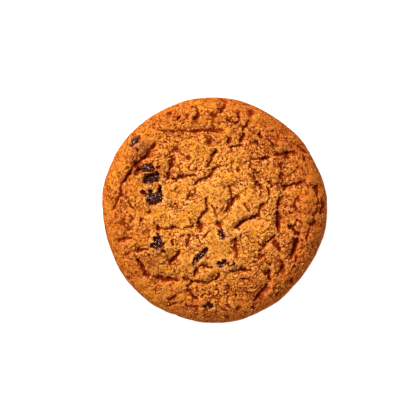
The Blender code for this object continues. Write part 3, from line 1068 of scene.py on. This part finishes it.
# %% Dough over the raisins
TEAR_SIZE = 2.2
TEAR_TURN = 53.0
TEAR_OF_EDGE = 0.15
TEAR_OF_OPENING = 0.55
POCKET_LIP_HEIGHT = 0.35
POCKET_LIP_PLACE = 1.25
POCKET_LIP_WIDTH = 0.22
POCKET_DEPTH = 2.6
OPENING_EDGE = 1.7
OPENING_SOFTNESS = 0.10
BRIDGED = (0.3, 0.6)
COVER_REACH = 1.12
COVER_SOFTNESS = 0.12
COVER_RISE = 0.45
RIM_SHADE_PLACE = 0.10
RIM_SHADE_WIDTH = 0.28


def add_covers(height, points, edge, over):
    """Covers and opens each raisin. Returns the shade at the edges of the openings."""
    flat = points[:, :2]
    tear = noise_at(points, TEAR_SIZE, LUMP_SEED * TEAR_TURN)
    rim_shade = np.zeros(len(height))
    for name, row in RAISINS.items():
        reach = raisin_reach(flat + edge, row) + TEAR_OF_EDGE * tear
        height += POCKET_LIP_HEIGHT * bell((reach - POCKET_LIP_PLACE) / POCKET_LIP_WIDTH)
        opened = np.full(len(height), FAR)
        for hole in OPENINGS[name]:
            away = raisin_reach(flat + edge * OPENING_EDGE, hole)
            opened = np.minimum(opened, (away - 1.0) * hole[3] / 2)
        inside = -opened - TEAR_OF_OPENING * tear
        sunk = smooth_step(inside, -OPENING_SOFTNESS, OPENING_SOFTNESS)
        sunk = sunk * (1.0 - smooth_step(over, *BRIDGED))
        covered = smooth_step(COVER_REACH - reach, -COVER_SOFTNESS, COVER_SOFTNESS)
        height += COVER_RISE * (covered * (1.0 - sunk)) - POCKET_DEPTH * sunk
        shade = bell((opened - RIM_SHADE_PLACE) / RIM_SHADE_WIDTH)
        rim_shade = np.maximum(rim_shade, shade * (1.0 - over))
    return rim_shade


print("opening shade", add_covers(NO_HEIGHT.copy(), TRIAL, NO_MOVE, NO_HEIGHT).round(2))

# %% [markdown]
# The whole relief is these layers, one on top of another. Each also says where it did
# its work, and those values are stored at the mesh's points, so that the finish can
# colour a crack or a pore exactly where the shape has one.

# %% Whole relief
PIT_SHADE = 0.8
PORE_LEAST = 0.8


def relief(points):
    """Height of the crust above its plain form, and what the finish needs to know."""
    flat = points[:, :2]
    ragged = noise_pair(points, RAGGED_SIZE, RAGGED_TURNS)
    frayed = noise_pair(points, FRAYED_SIZE, FRAYED_TURNS)
    edge = ragged * RAGGED_REACH + frayed * FRAYED_REACH
    plan = flat + WANDER_REACH * noise_pair(points, WANDER_SIZE, WANDER_TURNS)

    height = lumps(points)
    calm = add_swells(height, plan)
    crack, ditch = add_cracks(height, points, plan + edge)
    add_holes(height, crack, plan + edge, PITS, 2, PIT_SHADE)
    rough = roughness(points, calm)
    pore, pitted = add_crumb(height, points, edge, rough)
    split = add_fissures(height, points, ragged, frayed, rough)
    over = add_bridges(height, flat + edge)
    rim_shade = add_covers(height, points, edge, over)
    add_holes(height, crack, flat + edge, GAPS, 4, 1.0)
    painted = {
        "calm": calm,
        "crack": crack,
        "ditch": ditch,
        "pore": pore * np.maximum(rough, PORE_LEAST),
        "pitted": pitted,
        "rough": rough,
        "split": split,
        "rim_shade": rim_shade,
        "stain": spots(plan, STAINS),
        "peel": spots(flat + edge, PEEL),
    }
    return height, painted


print("whole relief", relief(TRIAL)[0].round(2), "mm")

# %% [markdown]
# The plain form is the ball's points laid over the section. How far down the ball a
# point lies says how far along the section it goes. The slope of the section there
# gives the direction square to the surface, along which the relief is pushed.

# %% Plain form
NO_ZERO = 1e-12


def plain_form(ball):
    """Points of the ball laid over the section, and the direction square to it there."""
    radii, heights = section()
    share = spread(radii, heights)
    down = (1.0 - ball[:, 2] / np.linalg.norm(ball, axis=1)) / 2
    angle = np.arctan2(ball[:, 1], ball[:, 0])
    radius = np.interp(down, share, radii) * outline_radius(angle)
    height = np.interp(down, share, heights)
    slope_r = np.interp(down, share, np.gradient(radii, share))
    slope_z = np.interp(down, share, np.gradient(heights, share))
    steep = np.hypot(slope_r, slope_z) + NO_ZERO
    points = np.stack([radius * np.cos(angle), radius * np.sin(angle), height], axis=1)
    outward = -slope_z / steep
    square = np.stack([np.cos(angle) * outward, np.sin(angle) * outward, slope_r / steep], axis=1)
    return points, square, outward


poles = plain_form(np.array([[0.0, 0.0, 1.0], [1.0, 0.0, 0.0]]))[0]
print("ball's top and side go to", poles.round(1).tolist(), "mm")

# %% [markdown]
# Building the crust. Each point's push is taken square to the plain form, and fades out
# towards the base, so that the cookie still lies flat. The tallest crags are eased down
# so that none stands higher than the solid does. Sculpting would give such a crust too,
# but a script can't be handed brush strokes.

# %% Crust mesh
FACE_CUTS = 96
TOP_ROOM = 0.25
TOP_KNEE = 1.0
RELIEF_FADE = (0.5, 3.0)
SIDE_CALM = 0.68

bpy.ops.object.select_all(action="DESELECT")
bpy.ops.mesh.primitive_ico_sphere_add(subdivisions=1, radius=1.0, location=(0.0, 0.0, 0.0))
crust = bpy.context.object
crust.name = "crust"
bpy.ops.object.mode_set(mode="EDIT")
bpy.ops.mesh.select_all(action="SELECT")
bpy.ops.mesh.subdivide(number_cuts=FACE_CUTS)
bpy.ops.object.mode_set(mode="OBJECT")
ball = np.empty(len(crust.data.vertices) * 3)
crust.data.vertices.foreach_get("co", ball)
points, square, outward = plain_form(ball.reshape(-1, 3))
push, painted = relief(points)
fade = smooth_step(points[:, 2], *RELIEF_FADE)
push = push * fade * (1.0 - SIDE_CALM * np.clip(outward, 0.0, 1.0))
points += square * push[:, None]
points[:, 2] = np.maximum(points[:, 2], 0.0)
solid_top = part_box("cookie")[1][2] / MM - TOP_ROOM
over_knee = np.maximum(points[:, 2] - (solid_top - TOP_KNEE), 0.0)
points[:, 2] -= over_knee
points[:, 2] += TOP_KNEE * (1.0 - np.exp(-over_knee / TOP_KNEE))
print("crust", len(crust.data.polygons), "faces")

# %% [markdown]
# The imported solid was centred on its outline, so the finer crust is centred in the same
# way: its box's middle goes to the middle of the solid's box.

# %% Centre the crust
cad_low, cad_high = (np.array(corner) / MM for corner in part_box("cookie"))
shift = (cad_low + cad_high) / 2 - (points.min(axis=0) + points.max(axis=0)) / 2
points[:, :2] += shift[:2]
crust.data.vertices.foreach_set("co", (points * MM).ravel())
crust.data.update()
low, high = points.min(axis=0).round(2), points.max(axis=0).round(2)
print("shift", shift.round(2), "crust box", low, high)
print("solid box", cad_low.round(2), cad_high.round(2))

# %% [markdown]
# The finish also needs to know how a place lies against its surroundings. A point's push
# is compared with the mean of its neighbours': over a few rounds that finds grains and
# grooves, and over many it finds hollows. The finish paints a highlight on what stands up
# and shade down in grooves and hollows.

# %% Dips and hollows
DIP_ROUNDS = 6
HOLLOW_ROUNDS = 40


def neighbour_mean(values, pairs, rounds):
    """Each value averaged over its neighbours, again and again."""
    size = len(values)
    number = np.bincount(pairs.ravel(), minlength=size)
    for _ in range(rounds):
        total = np.bincount(pairs[:, 0], values[pairs[:, 1]], size)
        total += np.bincount(pairs[:, 1], values[pairs[:, 0]], size)
        values = total / number
    return values


edges = np.empty(len(crust.data.edges) * 2, np.int32)
crust.data.edges.foreach_get("vertices", edges)
edges = edges.reshape(-1, 2)
painted["dip"] = neighbour_mean(push, edges, DIP_ROUNDS) - push
painted["hollow"] = neighbour_mean(push, edges, HOLLOW_ROUNDS) - push
print("deepest hollow", painted["hollow"].max().round(2), "mm")

# %% [markdown]
# Other values only say where on the cookie a point is: the oven browned the rim more
# than the middle, reddest on the right and at the bottom, and the left rim gets painted
# shade. Each pair is the distance in millimetres where a value starts and where it is full.

# %% Where the oven browned the crust, and where the left rim gets painted shade
TOP_ONLY = ("peel", "stain", "crack", "split", "pore", "calm", "ditch", "rim_shade")
TOP_BAND = (1.0, 9.5)
UNDER_BAND = (0.02, 0.9)
EAST_BAND = (-10.0, 42.0)
EAST_TILT = 0.4
RIM_SHARE_BAND = (20.0, 39.0)
ROSY_BAND = (2.0, 26.0)
SOUTH_BAND = (31.0, 40.0)
SOUTH_SHARE = 0.8
WEST_BAND = (20.0, 40.0)
MIDDLE_BAND = (8.0, 40.0)

x, y, z = points.T
from_middle = np.hypot(x, y)
for name in TOP_ONLY:
    painted[name] = painted[name] * fade
rim_share = smooth_step(from_middle, *RIM_SHARE_BAND)
south = SOUTH_SHARE * smooth_step(-y, *SOUTH_BAND)
painted["top"] = smooth_step(z, *TOP_BAND)
painted["under"] = 1.0 - smooth_step(z, *UNDER_BAND)
painted["east"] = smooth_step(x - EAST_TILT * y, *EAST_BAND)
painted["rosy"] = rim_share * np.maximum(smooth_step(x, *ROSY_BAND), south)
# West marks the left rim, where the finish paints shade to tone down the window's light.
painted["west"] = rim_share * smooth_step(-x, *WEST_BAND)
painted["middle"] = 1.0 - smooth_step(from_middle, *MIDDLE_BAND)
print("reddest at", points[painted["rosy"].argmax()].round(1))

# %% [markdown]
# The values are stored as attributes of the mesh's points, which a material can read.
# An image texture would need an unwrapped map, and would be blurrier than the mesh is.
# The crust then takes the place of the solid cookie, and moves with the only body.

# %% Store the values and place the crust
for name, values in painted.items():
    layer = crust.data.attributes.new(name, "FLOAT", "POINT")
    layer.data.foreach_set("value", values.astype(np.float32))
    print(name, np.percentile(values, [1, 25, 50, 75, 99]).round(2))
select_only(crust)
bpy.ops.object.shade_smooth()
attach(crust, "root")
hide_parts("cookie")

# %% [markdown]
# The crust's colour. Baked dough is orange on the flats, with a painted highlight where
# grains stand up, and red-brown down in the cracks, partly painted shade where less light
# gets and partly darker sugar. All its colours are kept in one place, from the palest to
# the darkest.

# %% Colours of baked dough
# The palest dough, also used for the painted highlight on raised grains and flakes.
PALE = (0.96, 0.44, 0.155, 1.0)
INNER = (0.685, 0.249, 0.0175, 1.0)
OUTER = (0.445, 0.106, 0.0060, 1.0)
# Golden patches, and also the painted highlight on raised places.
GOLDEN = (0.78, 0.310, 0.013, 1.0)
RUDDY = (0.48, 0.096, 0.009, 1.0)
# Painted shade for the broad hollows.
HOLLOW_SHADE_RED = (0.47, 0.098, 0.014, 1.0)
ROSY = (0.55, 0.125, 0.010, 1.0)
PEEL_YELLOW = (0.52, 0.260, 0.018, 1.0)
TAN = (0.56, 0.215, 0.040, 1.0)
SALMON = (0.60, 0.150, 0.026, 1.0)
TOASTED = (0.37, 0.072, 0.006, 1.0)
# Painted shade, for the crumb's dips, hollows and ditches, the openings' edges and the cracks'
# edges.
DEEP_SHADE = (0.27, 0.022, 0.0006, 1.0)
# Painted shade, for the pores, splits, crackle and pinholes.
PORE_SHADE_BROWN = (0.19, 0.0125, 0.0003, 1.0)
UNDER_PALE = (0.42, 0.120, 0.018, 1.0)
UNDER_DARK = (0.22, 0.045, 0.006, 1.0)
SOAKED = (0.24, 0.060, 0.012, 1.0)
# The cracks' colour: partly painted shade, partly darker sugar.
CRACK_SHADE_BROWN = (0.150, 0.0092, 0.0003, 1.0)
print("palest", PALE[:3], "darkest", CRACK_SHADE_BROWN[:3])

# %% [markdown]
# The stored values come back as wires of the same names. Clouds of several sizes are
# added to them: broad ones for redder and yellower places, and fine ones for crumb that
# is smaller than the mesh's own faces. A cloud has its waves to the metre, how many
# finer layers it has, and how strong those are.

# %% What the dough's material reads
PATCHY_CLOUD = (95.0, 3.0, 0.5)
GOLDEN_CLOUD = (430.0, 2.0, 0.5)
FLAKE_CLOUD = (1150.0, 3.0, 0.65)
SPECKLE_CLOUD = (2300.0, 2.0, 0.6)

dough = Sheet("baked_dough")
dip, hollow, crack, ditch = map(dough.painted, ("dip", "hollow", "crack", "ditch"))
pore, pitted, split, rough = map(dough.painted, ("pore", "pitted", "split", "rough"))
calm, stain, peel, rim_shade = map(dough.painted, ("calm", "stain", "peel", "rim_shade"))
top, under, middle = map(dough.painted, ("top", "under", "middle"))
east, rosy, west = map(dough.painted, ("east", "rosy", "west"))
patchy = dough.cloud(*PATCHY_CLOUD)
golden = dough.cloud(*GOLDEN_CLOUD)
flake = dough.cloud(*FLAKE_CLOUD)
speckle = dough.cloud(*SPECKLE_CLOUD)
print("dough reads", len(painted), "stored values")

# %% [markdown]
# Two kinds of mark are too fine for the mesh. Crackle is hair-thin: it lies where a cloud
# crosses its middle value, and a second cloud breaks it up. Pinholes lie at the centres
# of small cells, whose corners are stirred so that no grid shows, and only some cells
# have one.

# %% Crackle and pinholes
WIDE_CRACKLE = {
    "lines": (330.0, 4.0, 0.62),
    "width": (0.030, 0.006),
    "breaks": (240.0, 2.0, 0.5),
    "gaps": (0.49, 0.56),
}
FINE_CRACKLE = {
    "lines": (820.0, 3.0, 0.60),
    "width": (0.034, 0.008),
    "breaks": (520.0, 2.0, 0.5),
    "gaps": (0.50, 0.58),
}
STIR_SCALE = 1700.0
STIR_SHARE = 0.00055
PINHOLE_SCALE = 900.0
PINHOLE_EDGE = (0.36, 0.18)
PINHOLE_ODDS = (0.48, 0.58)


def crackle(lines, width, breaks, gaps):
    """Thin lines where one cloud crosses its middle value, broken up by another."""
    line = abs(dough.cloud(*lines) - 0.5).between(*width)
    return line * dough.cloud(*breaks).between(*gaps)


crackle_wide = crackle(**WIDE_CRACKLE)
crackle_fine = crackle(**FINE_CRACKLE)
place = dough.place()
stir_values = {"Vector": place, "Scale": STIR_SCALE, "Detail": 2.0}
stir = dough.node("ShaderNodeTexNoise", values=stir_values, output=1)
stir_mix = {0: STIR_SHARE, 4: place, 5: stir}
stirred = dough.node("ShaderNodeMix", {"data_type": "VECTOR"}, stir_mix, 1)
cells = {"Vector": stirred, "Scale": PINHOLE_SCALE, "Randomness": 1.0}
from_centre = dough.node("ShaderNodeTexVoronoi", values=cells)
cell_kind = dough.node("ShaderNodeTexVoronoi", values=cells, output=1)
pinhole = from_centre.between(*PINHOLE_EDGE) * cell_kind.between(*PINHOLE_ODDS)
pinhole = pinhole * (1.0 - calm * 0.7) * (pitted * 0.7 + 0.3)
print("dough has", len(dough.tree.nodes), "nodes")

# %% [markdown]
# The colour is built like a painting, from a ground up. Each layer is a share and a
# colour, and a share is a sum of stored values and clouds: between(0.42, 0.66), say, is
# nothing at 0.42 and full at 0.66. First come the broad tones: those that the oven gave,
# a painted highlight on raised places, painted shade in the hollows and on the left rim,
# and a darker tone low on the side.

# %% Broad tones
tone = dough.blend(middle, OUTER, INNER)
gold_share = patchy.between(0.42, 0.66) * 0.30 + golden.between(0.50, 0.66) * 0.45
# Painted highlight: golden where a place stands above its surroundings.
raised_highlight = hollow.between(-0.02, -0.40) * (middle * 0.20 + 0.18)
broad_tones = [
    (east * 0.35, RUDDY),
    (gold_share * (1.0 - rosy * 0.75), GOLDEN),
    (rosy * 0.34, ROSY),
    (golden.between(0.46, 0.30) * 0.30, SALMON),
    (raised_highlight * (1.0 - rosy * 0.7), GOLDEN),
    # Painted shade: red-brown down in the broad hollows.
    (hollow.between(0.02, 0.50) * 0.28, HOLLOW_SHADE_RED),
    (calm * 0.30 * (1.0 - rosy), TAN),
    # Painted shade on the left rim, against the window's light.
    (west * 0.24, TOASTED),
    # Darker low on the side.
    ((1.0 - top) * 0.8, TOASTED),
    (stain, SOAKED),
]
tone = dough.lay_over(tone, broad_tones)
print(len(broad_tones), "broad tones")

# %% [markdown]
# The base stood on the tray, so it is evenly brown with paler clouds. The photograph
# doesn't show it, but a part that is picked up has an underside.

# %% Underside
TRAY_CLOUD = (260.0, 5.0, 0.65)

tray_share = dough.cloud(*TRAY_CLOUD).between(0.35, 0.65) * 0.6 + middle * 0.5
tray_brown = dough.blend(tray_share, UNDER_DARK, UNDER_PALE)
tone = dough.blend(under * 0.9, tone, tray_brown)
print("underside done,", len(dough.tree.nodes), "nodes so far")

# %% [markdown]
# Then the crumb: a painted highlight where a grain stands up, painted shade where it dips.
# The clouds do the same at a smaller size. After these come the marks: painted shade in
# the pores, splits, crackle and pinholes, the specks of peel, and last painted shade at
# the openings' edges and the cracks' colour, partly painted shade and partly darker sugar.

# %% Crumb, marks and cracks
crumb_highlight_and_shade = [
    # Painted highlight: pale where grains, flakes and specks stand up.
    (dip.between(0.00, -0.24) * (middle * 0.40 + 0.20), PALE),
    (flake.between(0.52, 0.68) * (middle * 0.40 + 0.30) * (1.0 - calm * 0.5), PALE),
    (speckle.between(0.54, 0.66) * (rough * 0.8 + 0.2) * (middle * 0.28 + 0.24), PALE),
    # Painted shade: deep brown where the crumb dips, in hollows and in the ditches beside the long
    # cracks.
    (flake.between(0.44, 0.28) * (rough * 0.32 + 0.06), DEEP_SHADE),
    (speckle.between(0.46, 0.36) * (rough * 0.42 + 0.16), DEEP_SHADE),
    (dip.between(0.05, 0.28) * 0.34, DEEP_SHADE),
    (hollow.between(0.30, 1.2) * 0.24, DEEP_SHADE),
    (ditch.between(0.60, 1.9) * 0.22, DEEP_SHADE),
]
marks = [
    # Painted shade down in the pores, splits, crackle and pinholes.
    (pore.between(0.25, 0.85) * (0.80 - middle * 0.16), PORE_SHADE_BROWN),
    (split.between(0.35, 0.90) * (0.76 - middle * 0.16), PORE_SHADE_BROWN),
    (crackle_wide * (rough * 0.75 + 0.30), PORE_SHADE_BROWN),
    (crackle_fine * (rough * 0.72 + 0.10), PORE_SHADE_BROWN),
    (pinhole * 0.90, PORE_SHADE_BROWN),
    (peel * 0.85, PEEL_YELLOW),
    (rim_shade * 0.75, DEEP_SHADE),
    # The cracks: partly painted shade where less light gets, partly darker sugar.
    (crack.between(0.00, 0.25) * 0.30, DEEP_SHADE),
    (crack.between(0.12, 0.52) * (0.94 - middle * 0.06), CRACK_SHADE_BROWN),
]
tone = dough.lay_over(tone, crumb_highlight_and_shade + marks)
print(len(crumb_highlight_and_shade), "tones of crumb,", len(marks), "marks")

# %% [markdown]
# The bump stands for crumb that is finer than the faces: flakes and specks stand up, and
# pinholes and crackle go down. Dry dough hardly shines, so it is rough and has very
# little specular.

# %% Crust finish
DOUGH_BUMP_REACH = 0.26
DOUGH_BUMP_STRENGTH = 0.7
DOUGH_ROUGHNESS = 0.68
DOUGH_SHINE = 0.03

crumb_height = flake * 1.4 + speckle * 0.8 - pinhole * 1.1
crumb_height = crumb_height - crackle_wide * 0.8 - crackle_fine * 0.5
baked = dough.finish(
    Base_Color=tone,
    Roughness=DOUGH_ROUGHNESS + speckle * 0.20,
    Normal=dough.bump(crumb_height, DOUGH_BUMP_REACH, DOUGH_BUMP_STRENGTH),
    Specular_IOR_Level=DOUGH_SHINE,
)
wear(crust, baked)

# %% [markdown]
# The raisins. Each starts as a copy of its solid, so it lies in the right place. The
# copy's loose triangles are merged, rounded with Subdivision Surface and then wrinkled:
# deep folds follow the lines where noise crosses zero. Cloth that shrinks would fold as
# well, but takes minutes and has to be tamed.

# %% Wrinkles of a raisin
WARP_SIZE = 2.2
WARP_REACH = 0.8
FOLD_SIZE = 1.9
FOLD_SHARPNESS = 7.0
FOLD_DEPTH = 0.75
FINE_FOLD_SIZE = 0.7
FINE_FOLD_SHARPNESS = 6.0
FINE_FOLD_DEPTH = 0.20


def wrinkle(item, seed):
    """Pushes folds into a rounded raisin, along its own normals."""
    place = np.empty(len(item.data.vertices) * 3)
    normal = np.empty(len(place))
    item.data.vertices.foreach_get("co", place)
    item.data.vertices.foreach_get("normal", normal)
    place = place.reshape(-1, 3) / MM
    normal = normal.reshape(-1, 3)
    warp = noise_at(place, WARP_SIZE, seed * 3.0) * WARP_REACH
    folds = np.abs(noise_at(place + warp[:, None], FOLD_SIZE, seed))
    fine = np.abs(noise_at(place, FINE_FOLD_SIZE, seed * 5.0))
    depth = np.exp(-folds * FOLD_SHARPNESS) * FOLD_DEPTH
    depth += np.exp(-fine * FINE_FOLD_SHARPNESS) * FINE_FOLD_DEPTH
    place -= normal * depth[:, None]
    item.data.vertices.foreach_set("co", (place * MM).ravel())
    layer = item.data.attributes.new("fold", "FLOAT", "POINT")
    layer.data.foreach_set("value", depth.astype(np.float32))
    item.data.update()


# %% Raisin meshes
RAISIN_LEVELS = 3
RAISIN_SEED = Vector((1.3, 4.1, 7.7))
MERGE_DISTANCE = 0.000001
raisin_pieces = []

for order, name in enumerate(RAISINS):
    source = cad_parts[name]
    mesh = source.data.copy()
    fruit = bpy.data.objects.new(name + "_fruit", mesh)
    fruit.matrix_world = source.matrix_world
    scene.collection.objects.link(fruit)
    select_only(fruit)
    bpy.ops.object.transform_apply(location=True, rotation=True, scale=True)
    bpy.ops.object.mode_set(mode="EDIT")
    bpy.ops.mesh.select_all(action="SELECT")
    bpy.ops.mesh.remove_doubles(threshold=MERGE_DISTANCE)
    bpy.ops.mesh.normals_make_consistent(inside=False)
    bpy.ops.object.mode_set(mode="OBJECT")
    rounder = fruit.modifiers.new("rounder", "SUBSURF")
    rounder.levels = RAISIN_LEVELS
    rounder.render_levels = RAISIN_LEVELS
    bpy.ops.object.modifier_apply(modifier="rounder")
    wrinkle(fruit, RAISIN_SEED * (order + 1))
    select_only(fruit)
    bpy.ops.object.shade_smooth()
    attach(fruit, "root")
    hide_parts(name)
    raisin_pieces.append(fruit)
    print(fruit.name, len(fruit.data.polygons), "faces")

# %% [markdown]
# Raisin skin is nearly black, red-brown where it is thin, and it shines where it is
# stretched. A clear coat over the skin gives that shine, in patches, and a pale bloom
# of sugar, which also serves as painted highlight specks, lies on it in places.

# %% Raisin finish
SKIN = (0.034, 0.0016, 0.0005, 1.0)
SKIN_THIN = (0.110, 0.020, 0.010, 1.0)
SUGAR_BLOOM_AND_HIGHLIGHT = (0.42, 0.260, 0.180, 1.0)
MOTTLE_CLOUD = (900.0, 3.0, 0.6)
BLOOM_CLOUD = (1900.0, 2.0, 0.5)
STRETCH_CLOUD = (1300.0, 2.0, 0.5)
SKIN_GRAIN_CLOUD = (2400.0, 4.0, 0.6)
SKIN_BUMP_REACH = 0.10
SKIN_BUMP_STRENGTH = 0.6
SKIN_SHINE = 0.06
COAT_ROUGHNESS = 0.10

skin = Sheet("raisin_skin")
fold = skin.painted("fold")
mottle = skin.cloud(*MOTTLE_CLOUD)
bloom_and_highlight = skin.cloud(*BLOOM_CLOUD).between(0.58, 0.74)
stretched = skin.cloud(*STRETCH_CLOUD).between(0.44, 0.60)
fruit_tone = skin.blend(mottle.between(0.46, 0.74), SKIN, SKIN_THIN)
# Pale sugar bloom, which also stands in for highlight specks: painted highlight.
fruit_tone = skin.blend(bloom_and_highlight * 0.42, fruit_tone, SUGAR_BLOOM_AND_HIGHLIGHT)
raisin_skin = skin.finish(
    Base_Color=fruit_tone,
    Roughness=0.30 + mottle * 0.25 + fold * 0.3,
    Normal=skin.bump(skin.cloud(*SKIN_GRAIN_CLOUD), SKIN_BUMP_REACH, SKIN_BUMP_STRENGTH),
    Specular_IOR_Level=SKIN_SHINE,
    Coat_Weight=stretched * 0.9 + 0.1,
    Coat_Roughness=COAT_ROUGHNESS,
)
for fruit in raisin_pieces:
    wear(fruit, raisin_skin)

# %% [markdown]
# Loose crumbs. Little angular bits of dough lie half sunk all over the top, and some have
# stuck to the raisins. Each is an icosahedron of twenty faces with its corners pulled
# about. Their places are drawn from the crust's own points, with a fixed seed, and the
# few on the raisins are listed. A particle system could scatter them, but not
# keep them out of the cracks so simply.

# %% One crumb to copy
bpy.ops.object.select_all(action="DESELECT")
bpy.ops.mesh.primitive_ico_sphere_add(subdivisions=1, radius=1.0, location=(0.0, 0.0, 0.0))
crumb_pattern = bpy.context.object
corner = np.array([vertex.co for vertex in crumb_pattern.data.vertices])
faces = np.array([list(face.vertices) for face in crumb_pattern.data.polygons])
bpy.data.objects.remove(crumb_pattern, do_unlink=True)
print("a crumb has", len(corner), "corners and", len(faces), "faces")

# %% Places of the loose crumbs
CRUMB_COUNT = 1700
CRUMB_SEED = 11
CRUMB_SMALL = 0.16
CRUMB_LARGE = 0.42
LOWEST_CRUMB = 7.0
RAISIN_CLEAR = 1.15
CRACK_CLEAR = 0.25

draw = np.random.default_rng(CRUMB_SEED)
crust_normal = np.empty(len(points) * 3)
crust.data.vertices.foreach_get("normal", crust_normal)
crust_normal = crust_normal.reshape(-1, 3)
clear = np.full(len(points), FAR)
for row in RAISINS.values():
    clear = np.minimum(clear, raisin_reach(points[:, :2], row))
no_crack = painted["crack"] < CRACK_CLEAR
free = np.flatnonzero((points[:, 2] > LOWEST_CRUMB) & (clear > RAISIN_CLEAR) & no_crack)
chosen = draw.choice(free, CRUMB_COUNT, replace=False)
spread_of_size = [draw.uniform(0.0, 1.0) ** 3 for _ in chosen]
bits = [
    (points[index], crust_normal[index], CRUMB_SMALL + (CRUMB_LARGE - CRUMB_SMALL) * share)
    for index, share in zip(chosen, spread_of_size)
]
print(len(free), "free points,", len(bits), "crumbs")

# %% Crumbs stuck to the raisins
STICKING_REACH = 0.35
UP = np.array([0.0, 0.0, 1.0])
STUCK_CRUMBS = [
    (-30.6, 25.4, 0.34),
    (-20.3, -14.2, 0.36),
    (-21.7, -11.9, 0.30),
    (-20.6, -12.9, 0.26),
    (-22.3, -13.6, 0.28),
    (-6.9, -18.6, 0.30),
    (-5.2, -17.0, 0.30),
    (-4.2, -15.9, 0.26),
    (3.4, -20.8, 0.60),
    (5.6, -20.6, 0.55),
    (-2.9, -36.6, 0.34),
]

for x, y, size in STUCK_CRUMBS:
    skin_near = []
    for fruit in raisin_pieces:
        on_skin = np.array([vertex.co for vertex in fruit.data.vertices]) / MM
        skin_near.extend(on_skin[distance(on_skin, x, y) < STICKING_REACH])
    if skin_near:
        bits.append((max(skin_near, key=lambda spot: spot[2]), UP, size))
print(len(bits) - CRUMB_COUNT, "stuck crumbs")

# %% Crumb mesh
CRUMB_SINK = 0.35
CORNER_PULL = (0.65, 1.15)
CRUMB_WIDTHS = (0.6, 1.0)
CRUMB_FLATNESS = 0.7
LOOSE_TINTS = (0.0, 1.0)
STUCK_TINTS = (0.45, 0.85)
crumb_points = []
crumb_faces = []
crumb_tint = []

for order, (spot, up, size) in enumerate(bits):
    turn = Matrix.Rotation(draw.uniform(0.0, math.tau), 3, draw.normal(size=3))
    pulled = corner * draw.uniform(*CORNER_PULL, (len(corner), 1))
    form = pulled * [1.0, draw.uniform(*CRUMB_WIDTHS), CRUMB_FLATNESS]
    form = form @ np.array(turn) * size
    crumb_faces.append(faces + order * len(corner))
    crumb_points.append(form + spot + up * size * CRUMB_SINK)
    tints = LOOSE_TINTS if order < CRUMB_COUNT else STUCK_TINTS
    crumb_tint.append(np.full(len(corner), draw.uniform(*tints)))
crumb_places = (np.concatenate(crumb_points) * MM).tolist()
crumb_mesh = bpy.data.meshes.new("crumbs")
crumb_mesh.from_pydata(crumb_places, [], np.concatenate(crumb_faces).tolist())
layer = crumb_mesh.attributes.new("tint", "FLOAT", "POINT")
layer.data.foreach_set("value", np.concatenate(crumb_tint).astype(np.float32))
crumbs = bpy.data.objects.new("crumbs", crumb_mesh)
scene.collection.objects.link(crumbs)
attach(crumbs, "root")
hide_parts("cookie")
print("crumbs", len(bits), "bits", len(crumb_mesh.polygons), "faces")

# %% [markdown]
# Each crumb has one tint, from toasted through the colour of the flats to pale, so that
# they don't all look alike. They have the dough's own colours, because they broke off it.

# %% Crumb finish
CRUMB_CLOUD = (3300.0, 3.0, 0.6)
CRUMB_ROUGHNESS = 0.8
CRUMB_BUMP_REACH = 0.15
CRUMB_BUMP_STRENGTH = 0.8

crumb_sheet = Sheet("loose_crumb")
tint = crumb_sheet.painted("tint")
crumb_tone = crumb_sheet.blend(tint.between(0.0, 0.6), TOASTED, INNER)
crumb_tone = crumb_sheet.blend(tint.between(0.6, 1.0) * 0.8, crumb_tone, PALE)
crumb_grain = crumb_sheet.cloud(*CRUMB_CLOUD)
crumb_finish = crumb_sheet.finish(
    Base_Color=crumb_tone,
    Roughness=CRUMB_ROUGHNESS,
    Normal=crumb_sheet.bump(crumb_grain, CRUMB_BUMP_REACH, CRUMB_BUMP_STRENGTH),
    Specular_IOR_Level=DOUGH_SHINE,
)
wear(crumbs, crumb_finish)
